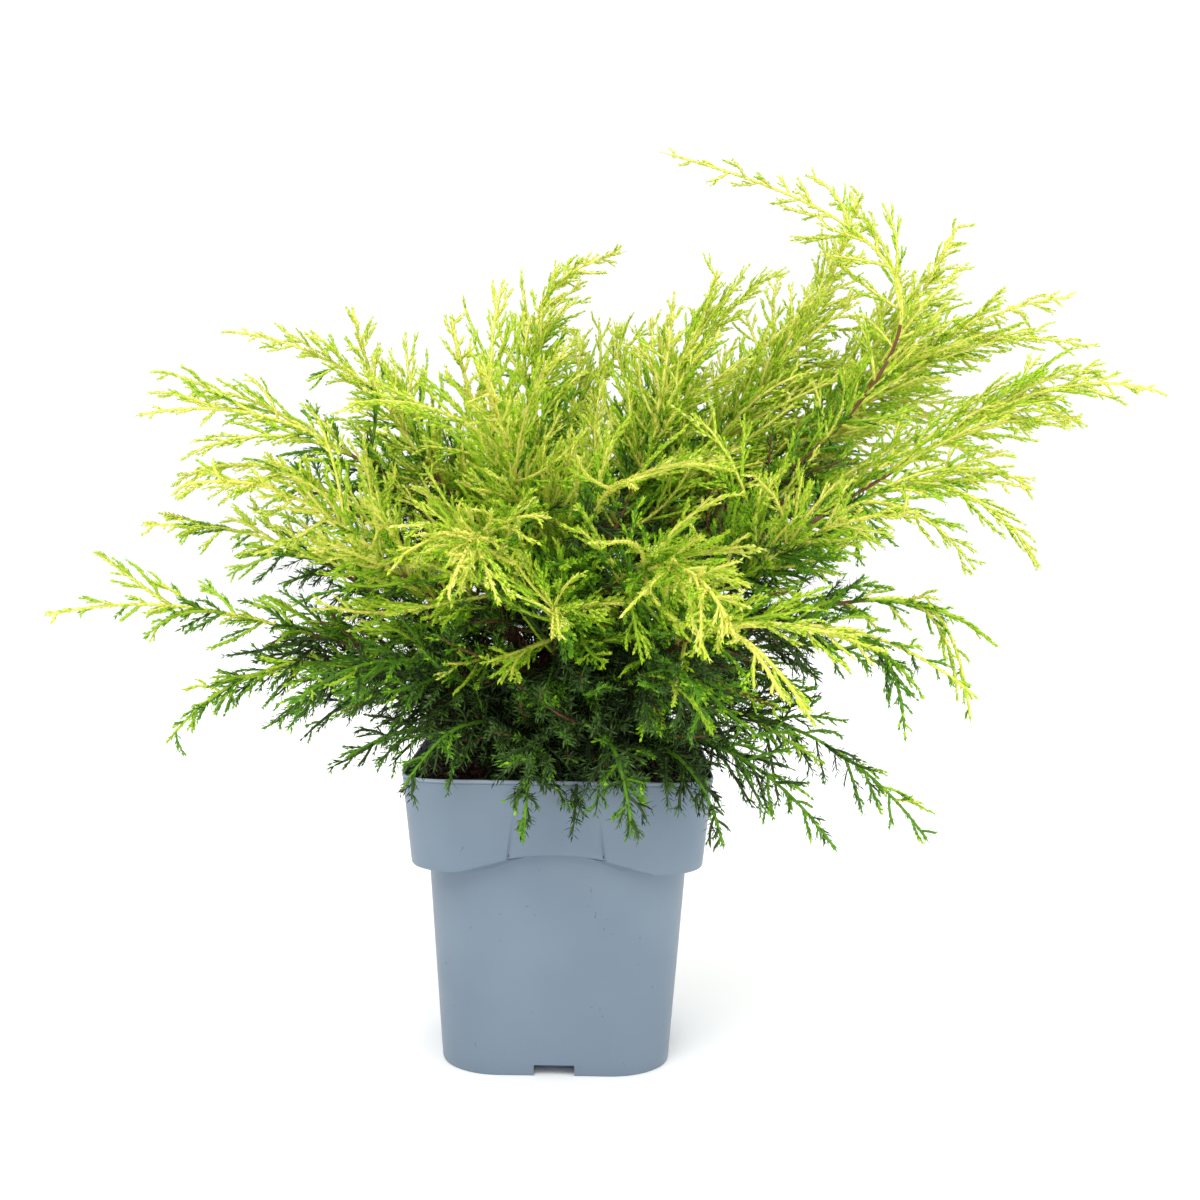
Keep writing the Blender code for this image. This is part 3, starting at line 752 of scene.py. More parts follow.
# Soil
class CrumbTree:
    """A Geometry Nodes tree that strews crumbs over a surface, each with its own size and turn."""

    inputs: tuple[tuple[str, str], ...] = (
        ("Surface", "Geometry"), ("Density", "Float"), ("Small", "Float"), ("Large", "Float"),
        ("Long", "Float"), ("Seed", "Int"),
    )

    def __init__(self, name: str, material: bpy.types.Material) -> None:
        """Builds the tree with its named inputs.

        Args:
            name: The tree's name.
            material: The crumbs' finish.
        """
        self.tree = bpy.data.node_groups.new(name, "GeometryNodeTree")
        for label, kind in self.inputs:
            self.tree.interface.new_socket(label, in_out="INPUT", socket_type="NodeSocket" + kind)
        self.tree.interface.new_socket("Crumbs", in_out="OUTPUT", socket_type="NodeSocketGeometry")
        new = self.tree.nodes.new
        given, result = new("NodeGroupInput"), new("NodeGroupOutput")
        strewn = new("GeometryNodeDistributePointsOnFaces")
        shape = new("GeometryNodeMeshIcoSphere")
        shape.inputs["Radius"].default_value = 1.0
        shape.inputs["Subdivisions"].default_value = 1
        turn = new("FunctionNodeRandomValue")
        turn.data_type = "FLOAT_VECTOR"
        turn.inputs["Max"].default_value = (math.tau, math.tau, math.tau)
        stood = new("GeometryNodeInstanceOnPoints")
        real = new("GeometryNodeRealizeInstances")
        finish = new("GeometryNodeSetMaterial")
        finish.inputs["Material"].default_value = material
        self.link(
            (given, "Surface", strewn, "Mesh"), (given, "Density", strewn, "Density"),
            (given, "Seed", strewn, "Seed"), (given, "Seed", turn, "Seed"),
            (strewn, "Points", stood, "Points"), (shape, "Mesh", stood, "Instance"),
            (turn, "Value", stood, "Rotation"), (self.random_size(given), "Value", stood, "Scale"),
            (stood, "Instances", real, "Geometry"), (real, "Geometry", finish, "Geometry"),
            (finish, "Geometry", result, "Crumbs"),
        )

    def link(self, *rows: tuple) -> None:
        """Links outputs to inputs, each row a node and its output, then a node and its input."""
        for start, output, end, target in rows:
            self.tree.links.new(start.outputs[output], end.inputs[target])

    def random_size(self, given: bpy.types.Node) -> bpy.types.Node:
        """A node that gives each crumb a random size, longer along one axis.

        Args:
            given: The tree's inputs.

        Returns:
            The node, whose output is the size.
        """
        new = self.tree.nodes.new
        size = new("FunctionNodeRandomValue")
        size.data_type = "FLOAT_VECTOR"
        low, high = new("ShaderNodeCombineXYZ"), new("ShaderNodeCombineXYZ")
        longer = new("ShaderNodeMath")
        longer.operation = "MULTIPLY"
        self.link(
            (given, "Large", longer, 0), (given, "Long", longer, 1), (longer, 0, high, "X"),
            (given, "Large", high, "Y"), (given, "Large", high, "Z"), (given, "Small", low, "X"),
            (given, "Small", low, "Y"), (given, "Small", low, "Z"), (low, 0, size, "Min"),
            (high, 0, size, "Max"), (given, "Seed", size, "Seed"),
        )
        return size

    def strew(self, name: str, surface: bpy.types.Object, values: dict) -> bpy.types.Object:
        """Runs the tree on a surface.

        Args:
            name: The new piece's name.
            surface: The mesh that carries the crumbs.
            values: The tree's inputs by name.

        Returns:
            The crumbs as one plain mesh object.
        """
        step = surface.modifiers.new(name, "NODES")
        step.node_group = self.tree
        for item in self.tree.interface.items_tree:
            if item.name in values and item.in_out == "INPUT":
                step[item.identifier] = values[item.name]
        graph = bpy.context.evaluated_depsgraph_get()
        mesh = bpy.data.meshes.new_from_object(surface.evaluated_get(graph))
        surface.modifiers.remove(step)
        return new_object(name, mesh)


@dataclass
class PottingSoil:
    """The peat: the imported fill, an uneven crust on it, and crumbs and bark chips on that.

    The lumps are the scale, height in the noise, roughness, spacing and octaves of the crust's relief.
    """

    half: float = 0.0905
    corner: float = 0.024
    corner_pull: float = 0.30
    top: float = 0.1723
    lift: float = 0.0006
    relief: float = 0.0045
    lumps: tuple[float, float, float, float, int] = (45, 3.0, 0.9, 2.1, 5)
    edge_fall: float = 9
    edge_least: float = 0.12
    steps: int = 90
    crumbs: dict[str, float] = field(default_factory=lambda: {
        "Density": 55_000.0, "Small": 0.0004, "Large": 0.0014, "Long": 1.6, "Seed": 5})
    chips: dict[str, float] = field(default_factory=lambda: {
        "Density": 9_000.0, "Small": 0.0006, "Large": 0.0024, "Long": 2.4, "Seed": 8})

    def crust(self, material: bpy.types.Material) -> bpy.types.Object:
        """The uneven top of the soil as a thin closed slab.

        Args:
            material: Its finish.

        Returns:
            The crust.
        """
        line = np.linspace(-1, 1, self.steps + 1)
        x, y = np.meshgrid(line, line, indexing="ij")
        stretch = 1 - self.corner_pull * self.corner / self.half * (x * y) ** 4
        x, y = x * stretch * self.half, y * stretch * self.half
        scale, level, rough, spacing, octaves = self.lumps
        high = np.array([
            0.5 + 0.5 * noise.fractal(Vector((a * scale, b * scale, level)), rough, spacing, octaves)
            for a, b in zip(x.ravel(), y.ravel())
        ]).reshape(x.shape)
        inward = (1 - np.maximum(np.abs(line)[:, None], np.abs(line)[None])) * self.edge_fall
        z = self.top + self.lift + self.relief * np.clip(high, 0, 1.2) * np.clip(inward, self.edge_least, 1)
        n = self.steps + 1
        upper = np.stack([x, y, z], -1).reshape(-1, 3)
        lower = np.stack([x, y, np.full_like(z, self.top)], -1).reshape(-1, 3)
        i, j = np.meshgrid(np.arange(n - 1), np.arange(n - 1), indexing="ij")
        a = (i * n + j).ravel()
        quads = np.stack([a, a + n, a + n + 1, a + 1], 1)
        rim = np.concatenate([
            np.arange(n - 1) * n, (n - 1) * n + np.arange(n - 1),
            n * n - 1 - np.arange(n - 1) * n, n - 1 - np.arange(n - 1),
        ])
        ahead = np.roll(rim, -1)
        walls = np.stack([rim, ahead, ahead + n * n, rim + n * n], 1)
        faces = np.concatenate([quads, quads[:, ::-1] + n * n, walls])
        piece = mesh_piece("soil_crust", np.concatenate([upper, lower]), faces, material, True)
        tidy_normals(piece)
        return piece

    def build(self) -> list[bpy.types.Object]:
        """Builds the crust and crumbs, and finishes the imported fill."""
        peat = PEAT.material()
        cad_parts["soil"].data.materials.clear()
        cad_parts["soil"].data.materials.append(peat)
        crust = self.crust(peat)
        crumbs = CrumbTree("peat_crumbs", peat).strew("soil_crumbs", crust, self.crumbs)
        chips = CrumbTree("bark_chips", CHIP_BARK.material()).strew("soil_chips", crust, self.chips)
        pieces = [crust, crumbs, chips]
        for piece in pieces:
            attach(piece, "root")
        return pieces


# Growth
@dataclass(frozen=True)
class Bough:
    """One limb from the trunk: where it leaves, and where its tip lies."""

    name: str
    fork: float
    azimuth: float
    reach: float
    height: float
    rise: float
    radius: float


@dataclass(frozen=True)
class Plume:
    """One leader, from a bough's tip or a height on the trunk to its own tip.

    The hold is how far it keeps its bough's heading. It ends turned from its azimuth, at the droop
    from level, and the bow is its handles' share of its reach.
    """

    name: str
    limb: str
    azimuth: float
    reach: float
    height: float
    turn: float
    droop: float
    bow: float = 0.4
    hold: float = 0.6


@dataclass(frozen=True)
class Growth:
    """How side shoots stand on their stem. Length is scale * remaining ** power + least.

    Flat shoots keep to one plane, and follow their mass's habit less than others do.
    """

    gap: float
    scale: float
    power: float
    least: float
    most: float
    angle: float
    forward: float
    flat: bool
    points: int

    @property
    def loose(self) -> float:
        """How far the shoots stray from their course."""
        return 0.12 if self.flat else 0.34

    @property
    def leaning(self) -> float:
        """How much of its mass's lean a shoot takes up."""
        return 0.4 if self.flat else 1.0


BOUGHS = tuple(Bough(*row) for row in (
    ("west", 0.240, 178, 0.052, 0.302, 38, 0.0030),
    ("west_low", 0.216, -160, 0.058, 0.252, 25, 0.0028),
    ("north_west", 0.252, 140, 0.048, 0.306, 48, 0.0028),
    ("centre_left", 0.254, -150, 0.028, 0.310, 60, 0.0026),
    ("centre_right", 0.264, -5, 0.024, 0.318, 62, 0.0026),
    ("north", 0.230, 95, 0.050, 0.286, 42, 0.0028),
    ("north_east", 0.243, 45, 0.056, 0.312, 45, 0.0030),
    ("east", 0.256, 6, 0.090, 0.330, 38, 0.0034),
    ("east_low", 0.226, -12, 0.070, 0.285, 35, 0.0028),
    ("south_east", 0.208, -45, 0.060, 0.252, 28, 0.0026),
    ("south", 0.246, -85, 0.045, 0.292, 42, 0.0026),
    ("south_west", 0.230, -122, 0.050, 0.270, 38, 0.0026),
))

PLUMES = tuple(Plume(*row) for row in (
    ("left_high", "west", -176, 0.274, 0.403, 0, -14),
    ("left_arch", "west", 180, 0.256, 0.352, 0, -42, 0.42),
    ("left_mid", "west_low", 168, 0.301, 0.332, 0, -4),
    ("left_long", "west_low", -162, 0.320, 0.282, 0, -14),
    ("left_low", "0.202", -171, 0.251, 0.197, 0, -55, 0.42),
    ("left_twigs", "0.192", 172, 0.155, 0.214, 0, -30),
    ("left_top", "north_west", 158, 0.265, 0.469, 15, 4),
    ("left_up", "north_west", 176, 0.140, 0.480, 0, 80),
    ("back_left", "north_west", 128, 0.270, 0.400, 0, -10),
    ("up_left", "centre_left", -130, 0.104, 0.465, 0, 75),
    ("up_mid", "centre_left", 68, 0.108, 0.529, -70, 12, 0.45),
    ("up_right", "centre_right", -4, 0.069, 0.483, 0, 84),
    ("up_back", "centre_right", 44, 0.145, 0.520, 0, 70),
    ("back_mid", "north", 64, 0.166, 0.469, -60, 5, 0.45),
    ("back", "north", 95, 0.285, 0.350, 0, -20),
    ("back_right", "north_east", 55, 0.290, 0.400, 0, -15),
    ("crest", "north_east", 28, 0.323, 0.563, 0, 60, 0.42),
    ("crest_left", "north_east", 30, 0.237, 0.581, 0, 75, 0.42),
    ("top_arch", "east", 47, 0.083, 0.590, 135, 13, 0.84, 1.0),
    ("right_upper", "east", 16, 0.372, 0.502, -6, 4, 0.36),
    ("right_long", "east", 7, 0.409, 0.431, 0, -16),
    ("right_mid", "east_low", -4, 0.301, 0.365, 0, -14),
    ("right_droop", "east_low", -11, 0.261, 0.216, -10, -82, 0.66),
    ("right_low", "south_east", -22, 0.269, 0.240, 0, -40, 0.42),
    ("front_pale", "south_east", -68, 0.300, 0.262, 0, -40),
    ("front_mid", "south", -80, 0.240, 0.362, 0, -10),
    ("front_right", "south", -72, 0.290, 0.290, 0, -40, 0.42),
    ("front_left", "south_west", -100, 0.270, 0.316, 0, -30, 0.42),
    ("front_west", "south_west", -138, 0.270, 0.360, 0, -12),
    ("front_rise", "south", -102, 0.200, 0.425, 0, 18),
    ("front_east", "east_low", -36, 0.250, 0.352, 0, 2),
    ("front_low", "0.220", -90, 0.225, 0.285, 0, -24, 0.42),
    ("front_low_right", "0.201", -68, 0.225, 0.234, 0, -35, 0.42),
    ("front_low_left", "0.212", -135, 0.210, 0.238, 0, -32, 0.42),
    ("low_right", "0.203", -12, 0.238, 0.143, 0, -55, 0.4),
    ("low_corner", "0.193", -34, 0.200, 0.151, 0, -50, 0.4),
    ("low_back", "0.208", 10, 0.230, 0.240, 0, -30, 0.4),
    ("skirt_right", "0.186", -54, 0.165, 0.157, 0, -70, 0.45),
    ("skirt_mid", "0.192", -75, 0.170, 0.170, 0, -65, 0.45),
    ("skirt_front", "0.186", -96, 0.160, 0.164, 0, -70, 0.45),
    ("skirt_west", "0.192", -122, 0.165, 0.188, 0, -45, 0.45),
    ("skirt_left", "0.185", -150, 0.150, 0.196, 0, -30),
    ("foot_back_left", "0.196", 135, 0.200, 0.215, 0, -40),
    ("foot_back", "0.190", 92, 0.200, 0.190, 0, -50),
    ("foot_back_right", "0.202", 45, 0.210, 0.200, 0, -45),
))


@dataclass(frozen=True)
class Habit:
    """How one mass departs from the common rule.

    It may have more sets of side shoots, with another length and gap between them. They may lean
    across towards +X and up towards +Z, and be lighter in tone, or darker: partly painted light and
    painted shade over the whole mass.
    """

    sets: int = 1
    long: float = 1.0
    gap: float = 1.0
    across: float = 0.0
    up: float = 0.0
    tone: float = 0.0


# The last column, the tone, is partly painted light and painted shade on each mass
HABITS = {name: Habit(*row) for name, row in {
    "top_arch": (1, 0.55, 1.0, -0.3, 0.0, -0.2),
    "crest": (2, 0.75, 0.65, 0.6, -0.2, 1.6),
    "crest_left": (2, 0.75, 0.65, 0.3, 0.0, 1.5),
    "right_upper": (2, 0.65, 1.0, 0.5, -0.4, 0.8),
    "right_long": (2, 0.65, 1.35, 0.5, -0.5, 0.6),
    "right_mid": (1, 0.6, 1.1, 0.3, -0.45, 0.1),
    "right_droop": (1, 0.5, 1.2, 0.1, -0.6, 0.3),
    "right_low": (1, 0.65, 0.9, 0.1, -0.4, 0.2),
    "up_left": (2, 0.85, 0.9, 0.3, 0.0, 1.2),
    "up_mid": (2, 0.8, 0.75, 0.5, 0.0, 0.8),
    "up_right": (2, 0.95, 0.8, -0.3, 0.0, 0.7),
    "up_back": (2, 0.9, 0.8, 0.4, 0.0, 0.8),
    "left_top": (1, 0.75, 0.8, -0.35, -0.15, 0.1),
    "left_up": (2, 0.8, 1.0, 0.2, 0.0, 1.0),
    "left_high": (1, 0.6, 1.0, -0.3, -0.45, -0.2),
    "left_arch": (1, 0.6, 0.8, -0.2, -0.7, -0.2),
    "left_mid": (1, 0.65, 0.8, -0.3, -0.5, -0.1),
    "left_long": (2, 0.6, 1.6, -0.3, -0.5, -0.2),
    "left_low": (2, 0.75, 0.9, -0.1, -0.4, 0.3),
    "left_twigs": (3, 1.0, 0.9, 0.0, -0.2, 0.0),
    "front_pale": (1, 0.75, 0.9, 0.2, -0.3, 0.5),
    "front_left": (2, 0.8, 1.0, 0.0, -0.1, 1.2),
    "front_right": (2, 0.8, 1.0, 0.0, -0.2, 0.7),
    "front_mid": (1, 0.9, 0.8, 0.2, 0.1, 0.5),
    "front_west": (2, 0.9, 1.1, -0.1, 0.1, 1.7),
    "front_rise": (2, 0.95, 1.0, -0.2, 0.2, 0.7),
    "front_east": (2, 0.95, 0.9, 0.1, 0.1, 0.2),
    "front_low": (2, 1.0, 1.0, 0.0, -0.1, 0.5),
    "front_low_right": (2, 1.0, 1.0, 0.0, -0.1, -0.6),
    "front_low_left": (2, 1.0, 1.0, 0.0, -0.1, -0.2),
    "skirt_right": (2, 1.0, 0.9, 0.0, -0.3, -0.2),
    "skirt_mid": (2, 1.0, 0.9, 0.0, -0.3, -0.2),
    "skirt_front": (2, 1.0, 0.9, 0.0, -0.3, -0.2),
    "skirt_west": (2, 1.0, 1.2, 0.0, -0.2, -0.1),
    "skirt_left": (1, 1.0, 0.9, 0.0, -0.2),
    "low_right": (1, 0.8, 0.7, 0.0, -0.3, 0.8),
    "low_corner": (1, 0.8, 0.7, 0.0, -0.3, 0.7),
    "low_back": (2, 0.9, 1.0, 0.0, -0.1),
    "back_left": (2, 0.9, 1.2, 0.0, 0.0, 0.2),
    "back_mid": (2, 1.0, 1.2, 0.0, 0.0, 0.4),
    "back_right": (2, 1.0, 1.2, 0.0, 0.0, 0.5),
    "back": (2, 1.0, 1.2),
    "foot_back_left": (2,),
    "foot_back": (2,),
    "foot_back_right": (2,),
}.items()}

LEVELS = (
    Growth(0.0095, 1.00, 1.40, 0.012, 0.095, 48, 0.45, False, 7),
    Growth(0.0066, 0.60, 1.20, 0.006, 0.036, 40, 0.50, True, 5),
    Growth(0.0050, 0.40, 1.00, 0.0035, 0.010, 32, 0.40, True, 4),
)

# The two finer rules in the light at the crown's outside, where shoots are long and lie forward
OUTER = (
    LEVELS[0],
    Growth(0.0084, 0.75, 1.15, 0.010, 0.046, 31, 0.60, True, 5),
    Growth(0.0062, 0.42, 1.00, 0.0050, 0.011, 24, 0.60, True, 4),
)
# Shoots inside the crown; their darker tints are painted shade
INNER = Growth(0.0060, 0.50, 1.00, 0.016, 0.044, 58, 0.30, False, 7)


class Stand(Enum):
    """Where a side shoot stands: anywhere on its leader, inside the crown, or out along its edge."""

    COMMON = 0
    INNER = 1
    EDGE = 2


@dataclass(frozen=True)
class Spray:
    """One longer side shoot that fills the crown's outline: its root on its leader, its tip, its arch."""

    share: float
    x: float
    y: float
    z: float
    arch: float = 0.4


SPRAYS = {name: tuple(Spray(*row) for row in rows) for name, rows in {
    "up_back": ((0.45, 0.121, 0.060, 0.509), (0.35, 0.149, 0.090, 0.517)),
    "crest_left": ((0.45, 0.170, 0.080, 0.505), (0.35, 0.134, 0.030, 0.473)),
    "crest": ((0.45, 0.215, 0.080, 0.495), (0.60, 0.296, 0.100, 0.499)),
    "up_right": ((0.30, 0.098, -0.030, 0.460),),
    "right_upper": (
        (0.40, 0.282, 0.100, 0.526), (0.48, 0.306, 0.080, 0.469, 0.15), (0.55, 0.337, 0.090, 0.477, 0.15),
        (0.62, 0.367, 0.090, 0.465, 0.15),
    ),
    "right_long": (
        (0.40, 0.305, 0.050, 0.443, 0.3), (0.50, 0.344, 0.030, 0.411, 0.2), (0.48, 0.335, 0.050, 0.436, 0.2),
        (0.60, 0.365, 0.050, 0.446), (0.72, 0.372, 0.030, 0.422), (0.60, 0.338, 0.000, 0.406),
    ),
    "left_top": ((0.50, -0.181, 0.050, 0.451),),
    "left_high": (
        (0.55, -0.242, 0.000, 0.420), (0.70, -0.266, 0.000, 0.433), (0.78, -0.264, -0.020, 0.418),
        (0.45, -0.239, -0.040, 0.375),
    ),
    "left_up": ((0.40, -0.106, 0.020, 0.464),),
    "up_left": ((0.40, -0.038, -0.030, 0.493),),
    "up_mid": ((0.50, -0.007, 0.080, 0.492),),
    "left_arch": ((0.55, -0.227, -0.020, 0.351), (0.75, -0.246, -0.030, 0.359)),
    "left_mid": (
        (0.55, -0.218, -0.030, 0.379), (0.80, -0.260, -0.050, 0.336), (0.70, -0.245, -0.080, 0.304),
        (0.42, -0.203, -0.040, 0.317),
    ),
    "front_pale": (
        (0.55, 0.155, -0.200, 0.285), (0.50, 0.172, -0.200, 0.279), (0.75, 0.129, -0.260, 0.249),
    ),
    "right_mid": (
        (0.55, 0.264, -0.030, 0.377), (0.70, 0.280, -0.040, 0.387), (0.62, 0.302, -0.030, 0.314, 1.2),
        (0.72, 0.297, -0.020, 0.365, 0.8), (0.50, 0.275, -0.050, 0.282, 1.2),
    ),
    "left_long": (
        (0.60, -0.237, -0.120, 0.272), (0.72, -0.272, -0.100, 0.321), (0.50, -0.199, -0.090, 0.280),
        (0.40, -0.167, -0.080, 0.269), (0.34, -0.174, -0.100, 0.296), (0.28, -0.134, -0.100, 0.289),
    ),
    "left_low": ((0.60, -0.237, -0.020, 0.210), (0.45, -0.189, -0.050, 0.253)),
    "right_droop": ((0.50, 0.269, -0.060, 0.268), (0.62, 0.240, -0.080, 0.237)),
    "right_low": ((0.55, 0.216, -0.100, 0.241), (0.65, 0.205, -0.100, 0.216)),
    "front_east": ((0.55, 0.044, -0.200, 0.387), (0.40, 0.075, -0.100, 0.408)),
    "front_right": (
        (0.50, 0.024, -0.250, 0.334), (0.75, 0.072, -0.266, 0.283), (0.65, 0.040, -0.250, 0.306),
    ),
    "front_left": (
        (0.70, -0.080, -0.220, 0.341), (0.62, -0.079, -0.240, 0.324), (0.75, -0.024, -0.262, 0.305),
        (0.55, -0.002, -0.210, 0.347),
    ),
    "front_rise": ((0.60, -0.117, -0.150, 0.406), (0.50, 0.000, -0.150, 0.436)),
    "front_west": ((0.60, -0.160, -0.160, 0.377),),
    "front_mid": ((0.60, 0.091, -0.220, 0.372),),
    "front_low": ((0.70, 0.004, -0.230, 0.286),),
    "front_low_right": ((0.60, 0.076, -0.220, 0.255),),
}.items()}


def heading(azimuth: float, rise: float) -> np.ndarray:
    """Unit vector of an azimuth and a rise, both in degrees."""
    a, r = math.radians(azimuth), math.radians(rise)
    return np.array([math.cos(a) * math.cos(r), math.sin(a) * math.cos(r), math.sin(r)])


def bezier(
    start: np.ndarray, way_out: np.ndarray, end: np.ndarray, way_in: np.ndarray, handle: float, points: int
) -> np.ndarray:
    """Points of a cubic curve.

    Args:
        start, end: Its two ends.
        way_out, way_in: Its heading at each.
        handle: Length of its two handles.
        points: How many points it has.

    Returns:
        The points, one row each.
    """
    t = np.linspace(0, 1, points)[:, None]
    a, b = start + way_out * handle, end - way_in * handle
    return (1 - t) ** 3 * start + 3 * (1 - t) ** 2 * t * a + 3 * (1 - t) * t**2 * b + t**3 * end


def measure(line: np.ndarray) -> float:
    """Length of a line."""
    return float(np.linalg.norm(np.diff(line, axis=0), axis=1).sum())


def along(line: np.ndarray, distance: float) -> tuple[np.ndarray, np.ndarray]:
    """One spot on a line.

    Args:
        line: The line's points.
        distance: How far the spot is from its start.

    Returns:
        The spot's place, and the line's heading there.
    """
    step = np.diff(line, axis=0)
    length = np.linalg.norm(step, axis=1)
    ends = np.concatenate([[0], np.cumsum(length)])
    k = min(int(np.searchsorted(ends, distance, side="right")) - 1, len(step) - 1)
    return line[k] + step[k] * (distance - ends[k]) / length[k], step[k] / length[k]


def cut_short(line: np.ndarray, share: float) -> np.ndarray:
    """The first part of a line, with as many points as before.

    Args:
        line: The line's points.
        share: How much of it is kept, from 0 to 1.

    Returns:
        The shorter line.
    """
    t = np.linspace(0, share, len(line)) * (len(line) - 1)
    k = np.minimum(t.astype(int), len(line) - 2)
    return line[k] + (line[k + 1] - line[k]) * (t - k)[:, None]


@dataclass
class Wood:
    """The trunk and its boughs: their lines, their thickness and their bark.

    The mesh of a limb is its steps along it and its sides round it. The dome is the trunk's end:
    how far it rises over the top, how long it is, and how much it narrows.
    """

    soil_top: float = 0.172
    clear: float = 0.0003
    top: float = 0.268
    lean: float = 0.012
    radii: tuple[float, float] = (0.0082, 0.0060)
    flare: float = 0.0050
    flare_height: float = 0.008
    bough_tip: float = 0.0019
    bough_handle: float = 0.36
    bough_points: int = 7
    bough_root: float = 0.04
    trunk_mesh: tuple[int, int] = (130, 72)
    bough_mesh: tuple[int, int] = (70, 22)
    dome: tuple[float, float, float] = (0.002, 0.003, 0.75)
    strips: float = 0.0008
    bough_strips: float = 0.32
    twist: float = 9.0
    strip_scale: tuple[float, float] = (4.2, 75)
    strip_sharp: float = 3.0
    lump_scale: float = 60
    lump_share: float = 0.16
    trunk_seed: float = 3.7
    bough_seeds: float = 11.3
    line_points: tuple[int, int] = (33, 25)
    limbs: dict[str, np.ndarray] = field(init=False)

    def __post_init__(self) -> None:
        """Draws each bough's middle line."""
        self.limbs = {b.name: self.bough_line(b) for b in BOUGHS}

    def share(self, height: float) -> float:
        """How far up the trunk a height is, from 0 at the soil to 1 at its top."""
        return (height - self.soil_top) / (self.top - self.soil_top)

    def axis(self, height: float) -> np.ndarray:
        """The trunk's middle at a height."""
        return np.array([-self.lean * self.share(height) * self.share(height), 0.0, height])

    def radius(self, height: float) -> float:
        """The trunk's radius at a height."""
        flare = self.flare * math.exp(-(height - self.soil_top) / self.flare_height)
        return self.radii[0] + (self.radii[1] - self.radii[0]) * self.share(height) + flare

    def spots(self, b: Bough, shares: np.ndarray) -> np.ndarray:
        """Places on a bough's middle line, at shares of its length."""
        total = measure(self.limbs[b.name])
        return np.array([along(self.limbs[b.name], total * s)[0] for s in shares])

    def bough_line(self, b: Bough) -> np.ndarray:
        """A bough's middle line.

        Args:
            b: The bough.

        Returns:
            The line's points.
        """
        start, end = self.axis(b.fork), tip_place(b)
        chord = end - start
        flat = math.degrees(math.atan2(chord[2], math.hypot(chord[0], chord[1])))
        way_in = heading(b.azimuth, 2 * flat - b.rise)
        handle = self.bough_handle * np.linalg.norm(chord)
        return bezier(start, heading(b.azimuth, b.rise), end, way_in, handle, self.bough_points)

    def bark_tube(
        self, line: np.ndarray, radii: np.ndarray, sides: int, relief: float, seed: float
    ) -> tuple[np.ndarray, np.ndarray]:
        """A closed limb whose surface is drawn into long strips.

        Args:
            line: Its middle line.
            radii: Its radius at each point of the line.
            sides: Points round it.
            relief: Height of the strips.
            seed: Place of the strips in the noise.

        Returns:
            Points and four-sided faces.
        """
        first, second = (ways[0] for ways in frames(line[None]))
        ends = np.concatenate([[0], np.cumsum(np.linalg.norm(np.diff(line, axis=0), axis=1))])
        turns = np.linspace(0, math.tau, sides, endpoint=False)
        fine, high = self.strip_scale
        rings = []
        for k, (point, radius) in enumerate(zip(line, radii)):
            strip = np.array([
                noise.noise(Vector((math.cos(a) * fine + seed, math.sin(a) * fine, ends[k] * high + seed)))
                for a in turns + ends[k] * self.twist
            ])
            lump = np.array([
                noise.noise(Vector((math.cos(a) + seed, math.sin(a), ends[k] * self.lump_scale)))
                for a in turns
            ])
            ridge = np.clip(1 - np.abs(strip) * self.strip_sharp, -0.6, 1.0)
            far = radius + relief * ridge + lump * radius * self.lump_share - relief * 0.5
            out = np.cos(turns)[:, None] * first[k] + np.sin(turns)[:, None] * second[k]
            rings.append(point + out * far[:, None])
        here = np.arange(sides)
        ahead = (here + 1) % sides
        points = np.concatenate([*rings, line[:1], line[-1:]])
        last = (len(rings) - 1) * sides
        root, tip = np.full(sides, len(points) - 2), np.full(sides, len(points) - 1)
        return points, np.concatenate([
            ring_faces(len(rings), sides),
            np.stack([ahead, here, root, root], 1),
            np.stack([last + here, last + ahead, tip, tip], 1),
        ])

    def stems(self) -> list[tuple[np.ndarray, np.ndarray]]:
        """Points and radii of the trunk, and of each bough."""
        heights = np.linspace(self.soil_top, self.top + self.dome[0], self.line_points[0])
        found = [(np.array([self.axis(h) for h in heights]), np.array([self.radius(h) for h in heights]))]
        count = self.line_points[1]
        for b in BOUGHS:
            radii = np.linspace(b.radius, self.bough_tip, count)
            found.append((self.spots(b, np.linspace(0, 1, count)), radii))
        return found

    def build(self) -> list[bpy.types.Object]:
        """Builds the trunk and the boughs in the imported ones' places."""
        (steps, sides), (rise, length, narrow) = self.trunk_mesh, self.dome
        heights = np.linspace(self.soil_top + self.clear, self.top + rise, steps)
        line = np.array([self.axis(h) for h in heights])
        radii = np.array([self.radius(h) for h in heights])
        dome = np.clip((heights - self.top + length - rise) / length, 0, 1)
        radii = radii * np.sqrt(1 - narrow * dome**2)
        parts = [self.bark_tube(line, radii, sides, self.strips, self.trunk_seed)]
        trunk = limb_piece("trunk_bark", parts, BARK.material())
        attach(trunk, "root")
        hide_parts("trunk")
        parts = []
        steps, sides = self.bough_mesh
        shares, relief = np.linspace(self.bough_root, 1, steps), self.strips * self.bough_strips
        for number, b in enumerate(BOUGHS):
            thick = b.radius + (self.bough_tip - b.radius) * shares
            seed = self.bough_seeds * number
            parts.append(self.bark_tube(self.spots(b, shares), thick, sides, relief, seed))
        boughs = limb_piece("bough_bark", parts, BOUGH_BARK.material())
        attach(boughs, "root")
        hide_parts(*["bough_" + b.name for b in BOUGHS])
        return [trunk, boughs]


